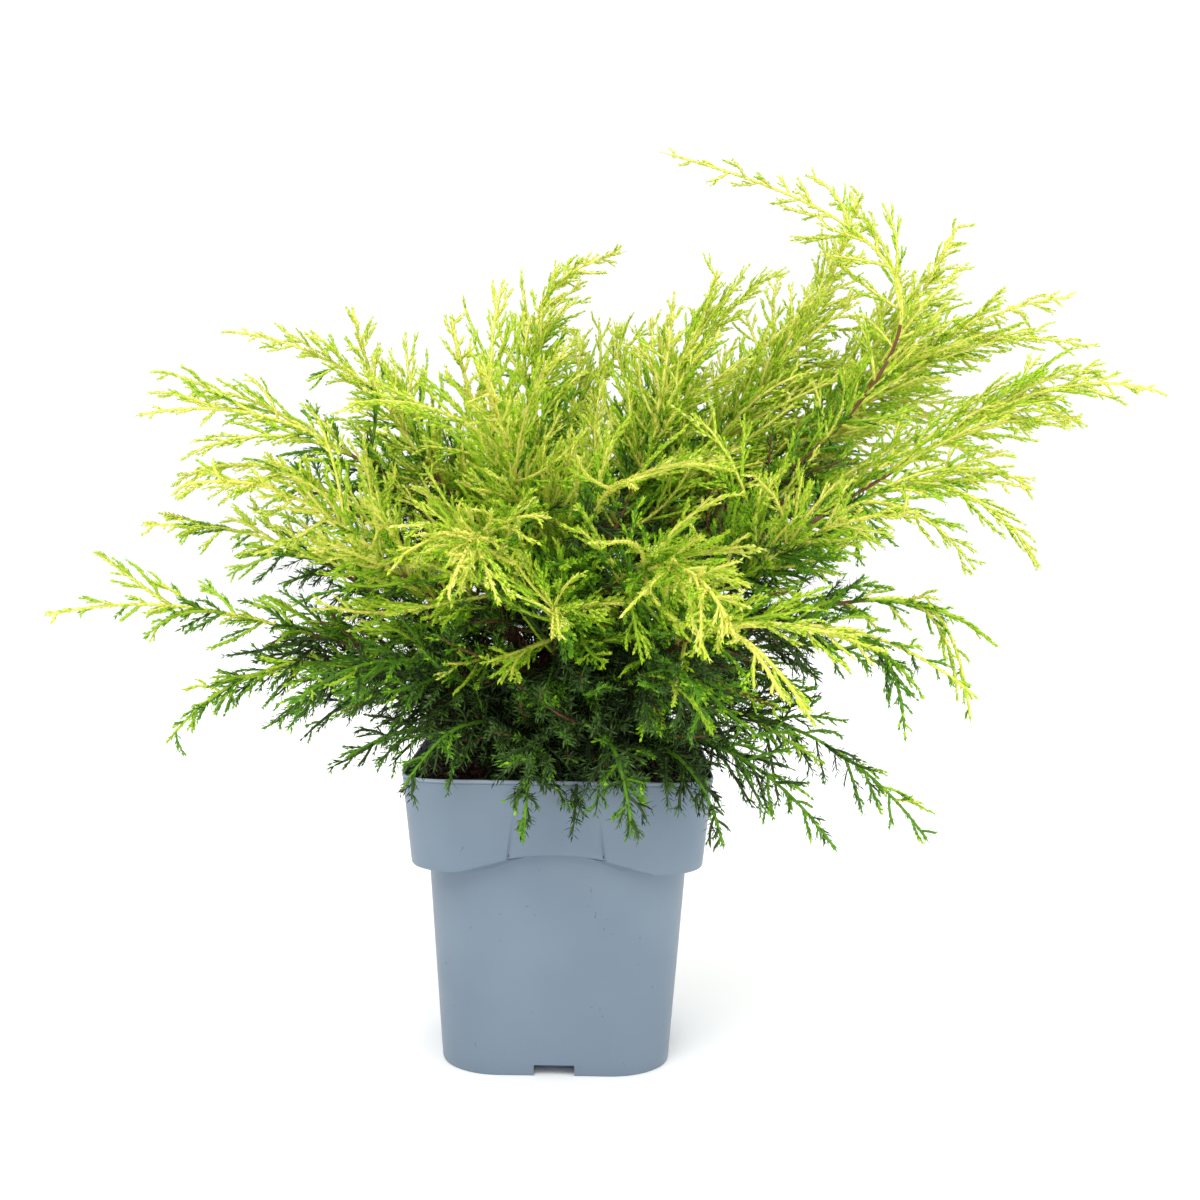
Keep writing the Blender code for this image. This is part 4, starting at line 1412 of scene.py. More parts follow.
def limb_piece(name: str, parts: list, material: bpy.types.Material) -> bpy.types.Object:
    """Several closed limbs as one smooth piece.

    Args:
        name: The piece's name.
        parts: Each limb's points and faces.
        material: Its finish.

    Returns:
        The new object.
    """
    points, faces, start = [], [], 0
    for corner, face in parts:
        points.append(corner)
        faces.append(face + start)
        start += len(corner)
    mesh = bpy.data.meshes.new(name)
    rows = [tuple(dict.fromkeys(int(v) for v in row)) for row in np.concatenate(faces)]
    mesh.from_pydata([tuple(map(float, p)) for p in np.concatenate(points)], [], rows)
    mesh.materials.append(material)
    mesh.shade_smooth()
    piece = new_object(name, mesh)
    tidy_normals(piece)
    return piece


def tip_place(row: Bough | Plume) -> np.ndarray:
    """Where a limb's tip lies."""
    a = math.radians(row.azimuth)
    return np.array([row.reach * math.cos(a), row.reach * math.sin(a), row.height])


def frames(lines: np.ndarray) -> tuple[np.ndarray, np.ndarray]:
    """Two directions across each line at each of its points, carried along without twist.

    Args:
        lines: Many lines with the same number of points.

    Returns:
        First and second direction, shaped as the lines.
    """
    ways = unit(np.gradient(lines, axis=1))
    side = unit(np.cross(ways[:, 0], np.array([0.3, 0.2, 1.0])))
    first = np.empty_like(lines)
    for k in range(lines.shape[1]):
        side = unit(side - ways[:, k] * np.sum(side * ways[:, k], axis=1, keepdims=True))
        first[:, k] = side
    return first, np.cross(ways, first)


class Space:
    """Which leader each place belongs to, and what else stands near it.

    A shape may reach over into the next mass's space by the overlap. It stays clear of the wood
    and the pot, keeps the seam's width from its own space's edge, and keeps the two margins inside
    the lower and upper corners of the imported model's box.
    """

    overlap: float = 0.020
    clear: float = 0.0006
    seam: float = 0.0003
    margins: tuple[float, float] = (0.002, 0.001)
    rim_wall: float = 0.0035
    crust: float = 0.004

    def __init__(self, leaders: list[np.ndarray], stems: list[tuple[np.ndarray, np.ndarray]]) -> None:
        """Keeps the places that are asked about later.

        Args:
            leaders: The leaders' points.
            stems: The points and radii of the trunk and the boughs.
        """
        self.points = np.concatenate(leaders)
        self.owner = np.concatenate([np.full(len(a), i) for i, a in enumerate(leaders)])
        self.stem_points = np.concatenate([line for line, _ in stems])
        self.stem_radii = np.concatenate([radii for _, radii in stems])
        self.low, self.high = (np.array(corner) for corner in CAD_BOX)

    def in_box(self, points: np.ndarray) -> bool:
        """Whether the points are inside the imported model's box."""
        low, high = self.margins
        return bool(((points > self.low + low) & (points < self.high - high)).all())

    def in_pot(self, points: np.ndarray, clear: float) -> bool:
        """Whether any point is in the soil or the pot's wall, or too near to either.

        Args:
            points: The points.
            clear: The nearest that they may be.

        Returns:
            True where one of them is.
        """
        pot = NurseryPot
        side = np.abs(points[:, :2]).max(axis=-1)
        wall = (side > pot.rim_half - self.rim_wall - clear) & (side < pot.rim_half + clear)
        soil = (side <= pot.rim_half) & (points[:, 2] < Wood.soil_top + self.crust + clear)
        return bool(((points[:, 2] < pot.height + clear) & (wall | soil)).any())

    def fits(self, own: int, points: np.ndarray, half: float) -> bool:
        """Whether a shape stays near its mass's own space.

        Args:
            own: The mass's number.
            points: Points along the shape's middle.
            half: Half its thickness.

        Returns:
            True where it does.
        """
        if self.in_pot(points, half + self.clear) or not self.in_box(points):
            return False
        far = np.linalg.norm(points[:, None] - self.points[None], axis=2)
        mine = far[:, self.owner == own].min(axis=1)
        other = far[:, self.owner != own].min(axis=1)
        if ((other - mine) / 2 < half + self.seam - self.overlap).any():
            return False
        near = np.linalg.norm(points[:, None] - self.stem_points[None], axis=2) - self.stem_radii
        return bool((near > half + self.clear).all())


@dataclass(frozen=True)
class Hollow:
    """A gap in the crown's front, round a line. A bare one keeps the inner shoots out too."""

    front: tuple[float, float, float]
    back: tuple[float, float, float]
    radius: float
    bare: bool = False

    def holds(self, point: np.ndarray) -> bool:
        """Whether a place is in the gap.

        Args:
            point: The place.

        Returns:
            True where it is.
        """
        start, way = np.array(self.front), np.subtract(self.back, self.front)
        share = np.clip(np.dot(point - start, way) / np.dot(way, way), 0, 1)
        return float(np.linalg.norm(point - start - share * way)) < self.radius


HOLLOWS = (
    Hollow((0.036, -0.300, 0.361), (0.041, -0.030, 0.360), 0.026),
    Hollow((-0.007, -0.300, 0.296), (-0.018, -0.050, 0.273), 0.017, True),
    Hollow((0.102, -0.300, 0.287), (0.130, -0.050, 0.261), 0.016),
)


@dataclass
class Batch:
    """Many like shapes: their corners, the faces of one of them, and the tint of each."""

    kind: str
    corners: np.ndarray
    template: np.ndarray
    tints: np.ndarray


# Tints of stems, each with the tone that it ends at
LEADER_TINTS = ((Twig.GREEN, 2.0), (Twig.LIME, 2.5), (Twig.GOLD, math.inf))
SHOOT_TINTS = ((Twig.OLIVE, 1.6), (Twig.GREEN, 2.6), (Twig.LIME, 3.3), (Twig.GOLD, math.inf))
TWIG_TINTS = (
    (Twig.DARK, 0.5), (Twig.OLIVE, 1.8), (Twig.GREEN, 3.0), (Twig.LIME, 4.7), (Twig.GOLD, math.inf),
)


def stem_tint(tints: tuple[tuple[Twig, float], ...], tone: float) -> Twig:
    """The first tint that ends above a tone."""
    return next(tint for tint, end in tints if tone < end)


@dataclass(frozen=True)
class Light:
    """How light each spray is, from 0 in the deepest shade to 5 for gold, by its place in the crown.

    A spray is lighter high up, far from the crown's middle and near its leader's tip: partly its own golden
    growth and partly painted light where the light falls. Inner shoots are darker, painted shade, apart
    from those high up or far out. Shoots on the outline are a little lighter.
    """

    middle: tuple[float, float] = (0.01, 0.26)
    half: tuple[float, float, float] = (0.30, 0.26, 0.24)
    base: float = 2.0
    shade_top: float = 0.245
    height_step: float = 0.08
    height_most: float = 1.25
    height_gain: float = 1.15
    far_even: float = 0.72
    far_gain: float = 3.0
    share_even: float = 0.6
    share_gain: float = 0.7
    scatter: float = 0.6
    limits: tuple[float, float] = (0.5, 4.4)
    inner_shade_drop: float = 2.2
    inner_most: float = 3.2
    inner_heights: tuple[float, float] = (0.33, 0.40)
    inner_gains: tuple[float, float] = (3.0, 18.0)
    inner_reach: float = 0.09
    reach_gain: float = 8.0
    edge_gain: float = 0.4
    edge_most: float = 4.3
    twig_even: float = 0.56
    twig_gain: float = 2.4
    twig_scatter: float = 0.3
    twiglet_even: float = 0.4
    twiglet_gain: float = 0.6
    bare: float = 1.2
    outer: float = 2.9
    outer_odds: float = 0.8

    def spray(self, habit: Habit, place: np.ndarray, share: float, rng: random.Random) -> float:
        """Tone of a spray, wherever it stands.

        Args:
            habit: How its mass departs from the common rule.
            place: Where its tip is.
            share: Its place along its leader.
            rng: The mass's random draws.

        Returns:
            The tone.
        """
        (x, z), (wide, deep, high) = self.middle, self.half
        far = math.sqrt(((place[0] - x) / wide) ** 2 + (place[1] / deep) ** 2 + ((place[2] - z) / high) ** 2)
        height = min(self.height_most, (place[2] - self.shade_top) / self.height_step)
        # The tone: partly the shrub's own green and gold, partly painted light high up and outside and
        # painted shade inside
        tone = (self.base + self.height_gain * height + self.far_gain * (far - self.far_even)
                + self.share_gain * (share - self.share_even) + habit.tone)
        return float(np.clip(tone + rng.gauss(0, self.scatter), *self.limits))

    def placed(self, tone: float, stand: Stand, place: np.ndarray) -> float:
        """Tone of a spray, changed for where it stands.

        Args:
            tone: The tone by its place alone.
            stand: Where it stands.
            place: Where its tip is.

        Returns:
            The changed tone.
        """
        if stand is Stand.EDGE:
            return min(tone + self.edge_gain, self.edge_most)
        if stand is Stand.COMMON:
            return tone
        # Inner shoots darkened as painted shade, less so high up and far from the middle
        (low, high), (less, more) = self.inner_heights, self.inner_gains
        reach = math.hypot(place[0] - self.middle[0], place[1])
        lift = (less * max(0.0, place[2] - low) + more * max(0.0, place[2] - high)
                + self.reach_gain * max(0.0, reach - self.inner_reach))
        return min(max(tone - self.inner_shade_drop + lift, 0.0), self.inner_most)


@dataclass(frozen=True)
class Foliage:
    """How leaves stand on a stem and what shape they have: scales in the light, needles in the shade.

    The gaps and leans go from the leaders to the finest twiglets. A scale or a needle is its length
    and half its width. The last values are shares of the stem's radius, the leaf's length or width.
    """

    gaps: tuple[float, ...] = (0.0028, 0.0026, 0.0025, 0.0024)
    leans: tuple[tuple[float, float], ...] = ((20, 34), (18, 32), (10, 20), (8, 18))
    scale: tuple[float, float] = (0.0039, 0.00085)
    needle: tuple[float, float] = (0.0062, 0.00050)
    needle_tone: float = 2.3
    needle_fade: float = 1.2
    needle_lean: float = 30
    lightest: float = 4.4
    scatter: float = 0.5
    turn_scatter: float = 18
    sizes: tuple[float, float] = (0.8, 1.2)
    first: float = 0.55
    last: float = 0.96
    tip_leaves: float = 3.0
    tip_size: float = 0.7
    seat: float = 0.7
    middle: float = 0.42
    middle_out: float = 0.1
    hook: float = 0.06
    fold: float = 0.75


@dataclass
class Crown:
    """The shrub's foliage: leaders, side shoots, twiglets and leaves, joined by kind and tint.

    The starts, lengths, angles and gaps are the shares between which each shoot's own is drawn. The
    first leader on a bough goes on from its tip, and each later one starts a rank step lower. Seeds
    are a mass step apart from mass to mass, and a set step from one set of shoots to the next. A
    twig bulges from its least tone on, over a span of tones, from slim by its swell, along a
    stretch of its length.
    """

    wood: Wood
    light: Light = field(default_factory=Light)
    foliage: Foliage = field(default_factory=Foliage)
    seed: int = 19
    mass_step: int = 1000
    set_step: int = 500
    inner_steps: tuple[int, int] = (90, 70)
    tone_seed: int = 7000
    leaf_seed: int = 500
    golden_turn: float = 137.508
    turn_scatter: float = 30
    starts: tuple[float, float] = (0.5, 1.4)
    lengths: tuple[float, float] = (0.5, 1.3)
    angles: tuple[float, float] = (0.65, 1.4)
    gaps: tuple[float, float] = (0.6, 1.4)
    tip_clear: float = 0.6
    chord: float = 0.98
    handle: float = 0.33
    spray_handle: float = 0.35
    rank_step: float = 0.0045
    rank_side: float = 0.5
    root_inset: float = 0.0008
    trunk_rise: float = 25
    trunk_inset: float = 0.7
    leader_points: int = 33
    inner_share: float = 0.60
    shade_reach: float = 0.180
    cuts: tuple[float, ...] = (1.0, 0.75, 0.5)
    shoot_half: float = 0.0004
    bare_points: int = 14
    leader_sides: int = 6
    leader_radii: tuple[float, float] = (0.0016, 0.00085)
    leader_share: float = 0.9
    leader_gain: float = 0.9
    brown_share: float = 0.3
    brown_tone: float = 2.6
    brown_height: float = 0.20
    shoot_radii: tuple[tuple[float, float], ...] = (
        (0.00115, 0.00075), (0.00095, 0.00070), (0.00080, 0.00060))
    shoot_lengths: tuple[float, ...] = (0.06, 0.02, 0.01)
    shoot_thickest: float = 1.25
    bulge: tuple[float, float, float, float, float] = (1.0, 1.5, 0.55, 0.42, 1.15)
    shoot_points: tuple[tuple[int, ...], ...] = ((0, 1, 2, 3, 4, 5, 6), (0, 1, 3, 4), (0, 2, 3))
    shoot_sides: tuple[int, ...] = (4, 3, 3)
    levels: list[list[tuple]] = field(default_factory=lambda: [[], [], []])
    batches: list[Batch] = field(default_factory=list)
    pieces: list[bpy.types.Object] = field(default_factory=list)

    def leader(self, p: Plume, rank: int) -> np.ndarray:
        """The leader of a plume.

        Args:
            p: The plume.
            rank: How many leaders its bough has before it.

        Returns:
            The leader's points.
        """
        end = tip_place(p)
        if p.limb in self.wood.limbs:
            limb = self.wood.limbs[p.limb]
            at, limb_way = along(limb, measure(limb) - self.rank_step * rank)
            way = unit(limb_way * p.hold + unit(end - at) * (1 - p.hold))
            start = at - limb_way * self.root_inset
            if rank:
                side = unit(end - at - limb_way * np.dot(end - at, limb_way))
                way = unit(way + side * self.rank_side)
                start = at + side * self.wood.bough_tip * 0.5
        else:
            height, way = float(p.limb), heading(p.azimuth, self.trunk_rise)
            out = heading(p.azimuth, 0) * self.wood.radius(height) * self.trunk_inset
            start = self.wood.axis(height) + out
        reach = np.linalg.norm(end - start)
        way_in = heading(p.azimuth + p.turn, p.droop)
        return bezier(start, way, end, way_in, p.bow * reach, self.leader_points)

    def side_shoots(
        self, line: np.ndarray, rule: Growth, seed: int, habit: Habit, plane: np.ndarray | None = None
    ) -> list[tuple[np.ndarray, float]]:
        """Side shoots of one stem, from its root to its tip, in a spiral or in one plane.

        Args:
            line: The stem.
            rule: The growth rule they follow.
            seed: Seed of their random draws.
            habit: How this mass departs from the rule.
            plane: The direction that flat shoots keep to.

        Returns:
            Each shoot's line, and its place along the stem from 0 to 1.
        """
        rng = random.Random(seed)
        total, found = measure(line), []
        s, turn = rule.gap * rng.uniform(*self.starts), rng.uniform(0, 360)
        while s < total - rule.least * self.tip_clear:
            point, way = along(line, s)
            length = min(rule.scale * (total - s) ** rule.power + rule.least, rule.most)
            length = length * rng.uniform(*self.lengths) * habit.long ** (0.5 if rule.flat else 1.0)
            spin = math.radians(turn + rng.uniform(-self.turn_scatter, self.turn_scatter))
            level_way = unit(np.cross(way, (0.02, 0.01, 1.0)) if plane is None else plane)
            across = level_way * math.cos(spin) + np.cross(level_way, way) * math.sin(spin)
            angle = math.radians(rule.angle * rng.uniform(*self.angles))
            out = way * math.cos(angle) + across * math.sin(angle)
            loose = np.array([rng.gauss(0, 1), rng.gauss(0, 1), rng.gauss(0, 1)]) * rule.loose
            pull = np.array((habit.across, 0.0, habit.up)) * rule.leaning + loose
            end_way = unit(out * (1 - rule.forward) + way * rule.forward + pull)
            end = point + unit(out + end_way) * length * self.chord
            found.append((bezier(point, out, end, end_way, length * self.handle, rule.points), s / total))
            s += rule.gap * rng.uniform(*self.gaps) * (1.0 if rule.flat else habit.gap)
            turn += 180 if rule.flat else self.golden_turn
        return found

    def long_spray(self, line: np.ndarray, spray: Spray) -> np.ndarray:
        """A long side shoot from its root on the leader to its own tip.

        Args:
            line: The leader.
            spray: The side shoot's places.

        Returns:
            Its line.
        """
        root, way = along(line, measure(line) * spray.share)
        tip, up = np.array((spray.x, spray.y, spray.z)), (0.0, 0.0, spray.arch)
        straight = unit(tip - root)
        out, end_way = unit(way + straight + up), unit(straight * 1.5 - way * 0.5 - up)
        handle = self.spray_handle * float(np.linalg.norm(tip - root))
        return bezier(root, out, tip, end_way, handle, LEVELS[0].points)

    def fitted(self, space: Space, own: int, line: np.ndarray) -> np.ndarray | None:
        """A shoot cut short until it keeps to its mass's space.

        Args:
            space: Which leader each place belongs to.
            own: The mass's number.
            line: The shoot.

        Returns:
            What is left of it, or None.
        """
        for share in self.cuts:
            part = cut_short(line, share)
            if space.fits(own, part[1:], self.shoot_half):
                return part
        return None

    def shoots(self, own: int, line: np.ndarray) -> list[tuple]:
        """All side shoots of one mass, before they are fitted to its space.

        Args:
            own: The mass's number.
            line: Its leader.

        Returns:
            Each shoot's line, its place along its stem, and where it stands in the crown.
        """
        plume, found = PLUMES[own], []
        habit = HABITS.get(plume.name, Habit())
        for extra in range(habit.sets):
            seed = self.seed + self.mass_step * own + self.set_step * extra
            found += [(*shoot, Stand.COMMON) for shoot in self.side_shoots(line, LEVELS[0], seed, habit)]
        for spray in SPRAYS.get(plume.name, ()):
            found.append((self.long_spray(line, spray), spray.share, Stand.EDGE))
        # Inner shoots near the middle, later darkened as painted shade
        on_leader, on_bough = self.inner_steps
        inside = [(cut_short(line, self.inner_share), self.seed + on_leader * own)]
        if plume.limb in self.wood.limbs:
            inside.append((self.wood.limbs[plume.limb], self.seed + on_bough * own))
        for stem, seed in inside:
            for shoot, share in self.side_shoots(stem, INNER, seed, Habit()):
                if math.hypot(shoot[0][0] - self.light.middle[0], shoot[0][1]) < self.shade_reach:
                    found.append((shoot, share, Stand.INNER))
        return found

    def grow(self) -> None:
        """Grows every plume, and turns its stems and leaves into batches of shapes."""
        used: dict[str, int] = {}
        leaders = []
        for p in PLUMES:
            rank = used.get(p.limb, 0)
            used[p.limb] = rank + 1
            leaders.append(self.leader(p, rank))
        space = Space(leaders, self.wood.stems())
        for own, line in enumerate(leaders):
            self.dress(space, own, unit(line[-1] - line[0]), self.shoots(own, line))
        LOG.info("grew %d side shoots, %d twigs and %d twiglets", *map(len, self.levels))
        self.add_leaders(leaders)
        for level, found in enumerate(self.levels):
            self.add_shoots(level, found)

    def dress(self, space: Space, own: int, stem_way: np.ndarray, shoots: list[tuple]) -> None:
        """Grows the twigs and twiglets of one mass's side shoots, and keeps them with their tones.

        Args:
            space: Which leader each place belongs to.
            own: The mass's number.
            stem_way: Its leader's heading.
            shoots: Each side shoot's line, its place along its stem, and where it stands in the crown.
        """
        habit, light = HABITS.get(PLUMES[own].name, Habit()), self.light
        rng = random.Random(self.tone_seed + own)
        for j, (shoot, share, stand) in enumerate(shoots):
            shoot = self.fitted(space, own, shoot)
            if shoot is None:
                continue
            hollows = [hollow for hollow in HOLLOWS if hollow.bare or stand is not Stand.INNER]
            if stand is not Stand.EDGE and any(hollow.holds(shoot[-1]) for hollow in hollows):
                continue
            tone = light.placed(light.spray(habit, shoot[-1], share, rng), stand, shoot[-1])
            self.levels[0].append((shoot, tone, share))
            way = unit(shoot[-1] - shoot[0])
            plane = unit(stem_way - way * np.dot(stem_way, way))
            rules = OUTER if tone > light.outer and rng.random() < light.outer_odds else LEVELS
            number = self.mass_step * own + j
            twigs = self.side_shoots(shoot, rules[1], self.seed + number, habit, plane)
            for k, (twig, place) in enumerate(twigs):
                twig = self.fitted(space, own, twig)
                if twig is None or any(hollow.holds(twig[-1]) for hollow in hollows):
                    continue
                gain = light.twig_gain * (place - light.twig_even)
                twig_tone = tone + gain + rng.gauss(0, light.twig_scatter)
                self.levels[1].append((twig, twig_tone, share))
                if twig_tone < light.bare:
                    continue
                seed = self.seed * number + k
                for twiglet, far in self.side_shoots(twig, rules[2], seed, habit, plane):
                    fine_tone = twig_tone + light.twiglet_gain * (far - light.twiglet_even)
                    self.levels[2].append((twiglet, fine_tone, share))

    def add_leaders(self, leaders: list[np.ndarray]) -> None:
        """Stems and leaves of the leaders: brown wood inside the crown, green or golden outside.

        Args:
            leaders: The leaders' points.
        """
        lines, split, sides = np.array(leaders), self.bare_points, self.leader_sides
        (thick, thin), shares = self.leader_radii, np.linspace(0, 1, lines.shape[1])
        radii = np.tile(thick + (thin - thick) * shares, (len(lines), 1))
        tones = np.array([
            self.light.spray(HABITS.get(p.name, Habit()), line[-1], self.leader_share, random.Random(i))
            for i, (p, line) in enumerate(zip(PLUMES, leaders))
        ])
        brown = np.full(len(lines), Twig.BROWN)
        self.add_tubes(lines[:, :split + 1], radii[:, :split + 1], sides, brown, False)
        tints = np.array([stem_tint(LEADER_TINTS, tone) for tone in tones])
        self.add_tubes(lines[:, split:], radii[:, split:], sides, tints, True)
        self.add_leaves(lines[:, split:], radii[:, split:], tones + self.leader_gain, 0)

    def add_shoots(self, level: int, found: list[tuple]) -> None:
        """Stems and leaves of one level of side shoots.

        Args:
            level: Nought for side shoots, one for twigs and two for twiglets.
            found: Each shoot's line, its tone, and its side shoot's place along the leader.
        """
        lines = np.array([line for line, *_ in found])
        tones = np.array([tone for _, tone, _ in found])
        thick, thin = self.shoot_radii[level]
        length = np.linalg.norm(np.diff(lines, axis=1), axis=2).sum(axis=1)
        root = np.clip(thin + (thick - thin) * length / self.shoot_lengths[level],
                       thin, thick * self.shoot_thickest)
        steps = np.linspace(0, 1, lines.shape[1])
        if level == 0:
            radii = root[:, None] + (thin - root[:, None]) * steps
            tints = [
                Twig.BROWN if share < self.brown_share and tone < self.brown_tone
                and line[-1, 2] > self.brown_height else stem_tint(SHOOT_TINTS, tone)
                for line, tone, share in found
            ]
        else:
            least, span, slim, swell, stretch = self.bulge
            bulge = swell * np.clip((tones - least) / span, 0, 1)[:, None]
            radii = root[:, None] * (slim + bulge * np.sin(math.pi * np.minimum(steps * stretch, 1.0)))
            tints = [stem_tint(TWIG_TINTS, tone) for tone in tones]
        kept = self.shoot_points[level]
        self.add_tubes(lines[:, kept], radii[:, kept], self.shoot_sides[level], np.array(tints), True)
        self.add_leaves(lines, radii, tones, level + 1)

    def add_tubes(
        self, lines: np.ndarray, radii: np.ndarray, sides: int, tints: np.ndarray, pointed: bool
    ) -> None:
        """Closed round stems along lines.

        Args:
            lines: The stems.
            radii: Their radius at each point.
            sides: Points round each.
            tints: Each stem's tint.
            pointed: Whether they end in a point.
        """
        first, second = frames(lines)
        turns = np.linspace(0, math.tau, sides, endpoint=False)
        ring = (np.cos(turns)[:, None] * first[:, :, None] + np.sin(turns)[:, None] * second[:, :, None])
        rings = lines[:, :, None] + ring * radii[:, :, None, None]
        steps = lines.shape[1]
        if pointed:
            rings = rings[:, :-1]
            steps -= 1
        corners = np.concatenate([rings.reshape(len(lines), -1, 3), lines[:, -1:]], axis=1)
        tip, last = steps * sides, (steps - 1) * sides
        faces = [(0, i + 1, i) for i in range(1, sides - 1)]
        for r in range(steps - 1):
            for i in range(sides):
                a, b = r * sides + i, r * sides + (i + 1) % sides
                faces += [(a, b, b + sides), (a, b + sides, a + sides)]
        faces += [(last + i, last + (i + 1) % sides, tip) for i in range(sides)]
        self.batches.append(Batch("twigs", corners, np.array(faces), tints))

    def add_leaves(self, lines: np.ndarray, radii: np.ndarray, tones: np.ndarray, level: int) -> None:
        """Leaves in pairs along the lines, each a folded blade of two faces.

        Args:
            lines: The stems.
            radii: Their radius at each point.
            tones: Each stem's tone.
            level: Nought for the leaders, and on up to the finest twiglets.
        """
        leaf, rng = self.foliage, np.random.default_rng(self.leaf_seed + level)
        length = np.linalg.norm(np.diff(lines, axis=1), axis=2).sum(axis=1)
        count = np.maximum(1, np.floor(length / leaf.gaps[level])).astype(int)
        owner = np.repeat(np.arange(len(lines)), count)
        order = np.arange(len(owner)) - np.repeat(np.cumsum(count) - count, count)
        t = np.minimum((order + leaf.first) / count[owner], leaf.last) * (lines.shape[1] - 1)
        k = np.minimum(t.astype(int), lines.shape[1] - 2)
        part = (t - k)[:, None]
        place = lines[owner, k] * (1 - part) + lines[owner, k + 1] * part
        thick = (radii[owner, k] * (1 - part[:, 0]) + radii[owner, k + 1] * part[:, 0])[:, None]
        way = unit(lines[owner, k + 1] - lines[owner, k])
        first, second = (ways[owner, k] for ways in frames(lines))
        light = np.minimum(tones[owner], leaf.lightest) + rng.uniform(-leaf.scatter, leaf.scatter, len(owner))
        needle = np.clip((leaf.needle_tone - light) / leaf.needle_fade, 0, 1)[:, None]
        long, wide = (scale * (1 - needle) + thin * needle for scale, thin in zip(leaf.scale, leaf.needle))
        near_tip = np.clip((count[owner] - order) / leaf.tip_leaves, leaf.tip_size, 1)[:, None]
        tints = np.array(LEAVES)[np.clip(np.round(light), 0, len(LEAVES) - 1).astype(int)]
        for half in (0.0, math.pi):
            stray = rng.uniform(-leaf.turn_scatter, leaf.turn_scatter, len(owner))
            turn = (order * 90 + stray) * math.pi / 180 + half
            out = np.cos(turn)[:, None] * first + np.sin(turn)[:, None] * second
            lean = rng.uniform(*leaf.leans[level], len(owner))[:, None] + leaf.needle_lean * needle
            size = long * near_tip * rng.uniform(*leaf.sizes, len(owner))[:, None]
            side, fold = np.cross(way, out) * wide, out * wide * leaf.fold
            root = place + out * thick * leaf.seat
            blade = way * np.cos(np.radians(lean)) + out * np.sin(np.radians(lean))
            middle = root + blade * size * leaf.middle + out * thick * leaf.middle_out
            tip = root + blade * size + (way - out) * size * leaf.hook
            corners = np.stack([root, middle + side - fold, tip, middle - side - fold], axis=1)
            self.batches.append(Batch("leaves", corners, np.array([(0, 1, 2), (0, 2, 3)]), tints))

    def build(self) -> list[bpy.types.Object]:
        """Grows the crown and joins its shapes into pieces by kind and tint."""
        self.grow()
        for kind, tints in (("twigs", tuple(Twig)), ("leaves", LEAVES)):
            for tint in tints:
                self.join(kind, tint, tint.value.material())
        return self.pieces

    def join(self, kind: str, tint: Enum, material: bpy.types.Material) -> None:
        """Joins all shapes of one kind and tint into pieces under the triangle limit.

        Args:
            kind: Twigs or leaves.
            tint: The tint.
            material: Its finish.
        """
        points, faces, start, total, number = [], [], 0, 0, 1

        def close() -> None:
            """Makes one piece of what has been gathered."""
            nonlocal points, faces, start, total, number
            if not faces:
                return
            name = f"{kind}_{tint.name.lower()}_{number}"
            piece = mesh_piece(name, np.concatenate(points), np.concatenate(faces), material, kind == "twigs")
            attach(piece, "root")
            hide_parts(*["foliage_" + p.name for p in PLUMES])
            self.pieces.append(piece)
            points, faces, start, total, number = [], [], 0, 0, number + 1

        for batch in self.batches:
            if batch.kind != kind:
                continue
            corners = batch.corners[batch.tints == tint]
            while len(corners):
                room = max(0, (MOST_TRIANGLES - total) // len(batch.template))
                if not room:
                    close()
                    continue
                taken, corners = corners[:room], corners[room:]
                size = taken.shape[1]
                rows = np.arange(len(taken))[:, None, None] * size + batch.template[None] + start
                points.append(taken.reshape(-1, 3))
                faces.append(rows.reshape(-1, 3))
                start += len(taken) * size
                total += len(taken) * len(batch.template)
        close()


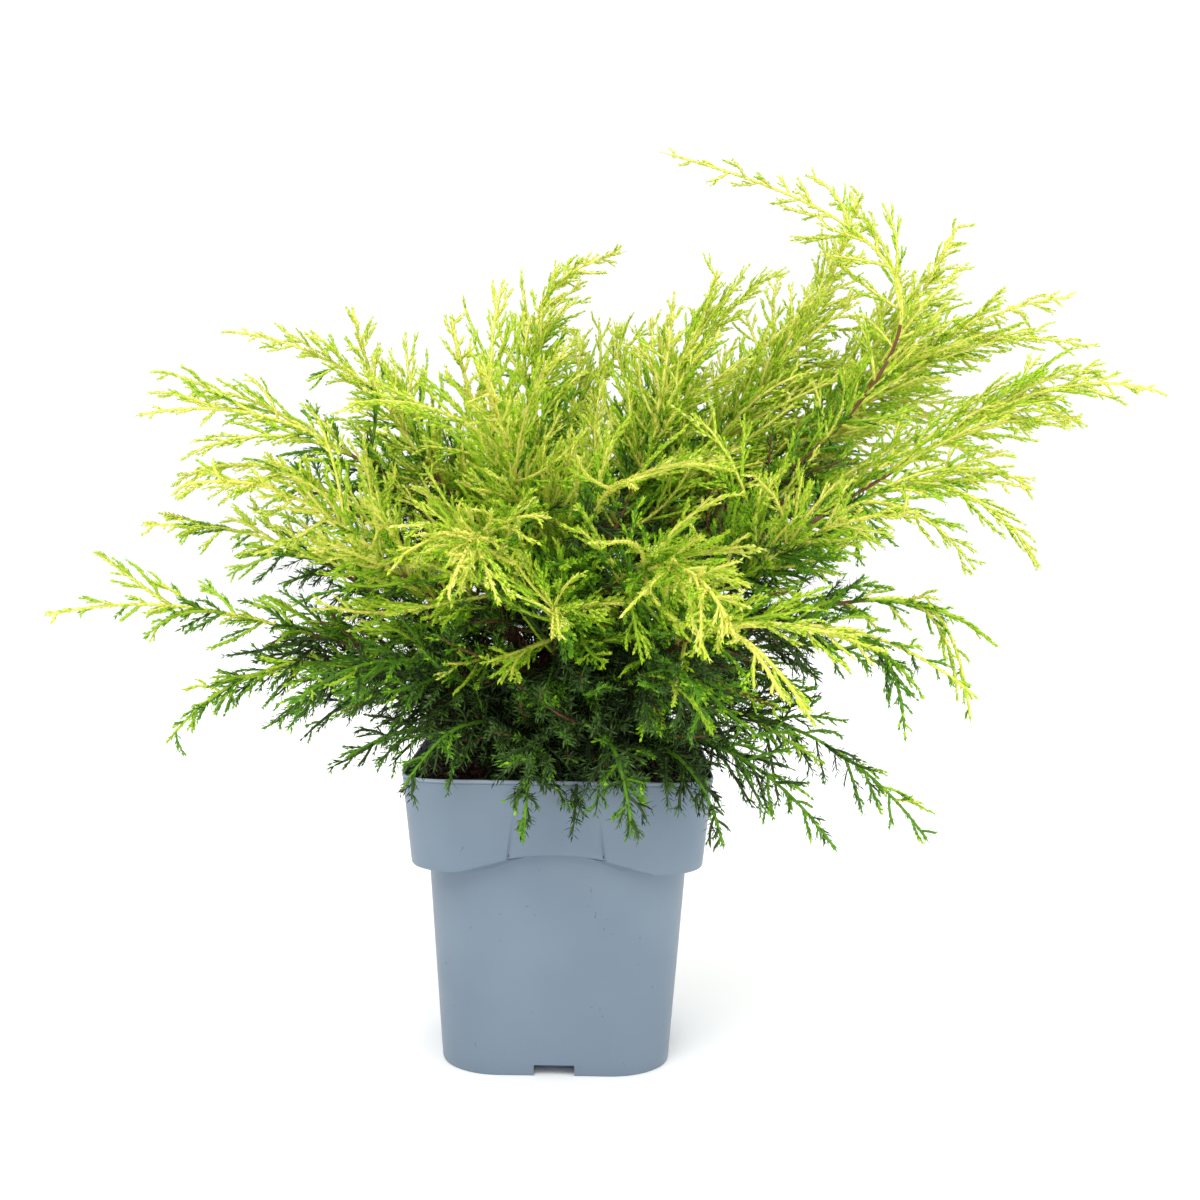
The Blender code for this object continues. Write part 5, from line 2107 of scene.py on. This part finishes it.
# Studio
@dataclass
class Studio:
    """A pale floor, soft light and the camera at the photograph's angle.

    The floor's grain is its scale and detail, and its sheen the roughness and the highlights.
    """

    floor_half: float = 6.0
    floor_greys: tuple[float, float] = (0.955, 0.965)
    floor_grain: tuple[float, float] = (3.0, 2.0)
    floor_sheen: tuple[float, float] = (0.9, 0.2)
    lens: float = 46.28
    sensor: float = 36.0
    clip: tuple[float, float] = (0.01, 100.0)
    camera_place: tuple[float, float, float] = (0.0241, -1.0, 0.3621)
    pitch: float = 0.0722
    roll: float = 0.0148
    aim: tuple[float, float, float] = (0, 0, 0.3)
    lights: tuple = (
        ("key", (-0.7, -2.2, 2.8), 1.6, 58.0), ("fill", (1.9, -1.6, 1.5), 1.8, 16.0),
        ("back", (0.3, 2.2, 2.2), 1.8, 18.0),
    )
    sky: float = 1.08

    def build_camera(self) -> None:
        """The camera, at the photograph's viewing angle."""
        data = bpy.data.cameras.new("camera")
        data.lens, data.sensor_width = self.lens, self.sensor
        data.clip_start, data.clip_end = self.clip
        camera = new_object("camera", data)
        turn = Matrix.Rotation(math.pi / 2 - self.pitch, 4, "X") @ Matrix.Rotation(self.roll, 4, "Z")
        camera.matrix_world = Matrix.Translation(self.camera_place) @ turn
        bpy.context.scene.camera = camera

    def build(self) -> None:
        """The floor, the lights and the world."""
        half = self.floor_half
        corners = np.array([(-half, -half, 0), (half, -half, 0), (half, half, 0), (-half, half, 0)])
        board = Board("pale_floor", *self.floor_sheen)
        greys = [(grey, grey, grey, 1) for grey in self.floor_greys]
        board.feed("Base Color", board.mix(board.noise(board.place(), *self.floor_grain), *greys))
        floor = mesh_piece("studio_floor", corners, np.array([(0, 1, 2, 3)]), board.material, False)
        for row in self.lights:
            self.light(*row)
        world = bpy.data.worlds.new("studio")
        world.use_nodes = True
        sky = world.node_tree.nodes["Background"].inputs
        sky["Color"].default_value, sky["Strength"].default_value = (1.0, 1.0, 1.0, 1), self.sky
        bpy.context.scene.world = world
        bpy.context.scene.view_settings.view_transform = "Standard"

    def light(self, name: str, place: tuple[float, float, float], size: float, power: float) -> None:
        """One soft square light that faces the crown.

        Args:
            name: The light's name.
            place: Where it stands.
            size: Its width.
            power: Its power in watts.
        """
        data = bpy.data.lights.new(name, "AREA")
        data.shape, data.size, data.energy = "SQUARE", size, power
        light = new_object(name, data)
        way = Vector(self.aim) - Vector(place)
        light.matrix_world = Matrix.Translation(place) @ way.to_track_quat("-Z", "Y").to_matrix().to_4x4()


def main() -> None:
    """Builds the object's parts in order."""
    logging.basicConfig(level=logging.INFO, format="%(name)s: %(message)s")
    studio = Studio()
    studio.build_camera()
    studio.build()
    wood = Wood()
    made = [NurseryPot().build(), *PottingSoil().build(), *wood.build(), *Crown(wood).build()]
    for piece in made:
        LOG.info("%s: %d faces", piece.name, len(piece.data.polygons))
    LOG.info("triangles in all: %d", sum(sum(len(f.vertices) - 2 for f in p.data.polygons) for p in made))
    bpy.context.view_layer.update()


if __name__ == "__main__":
    main()
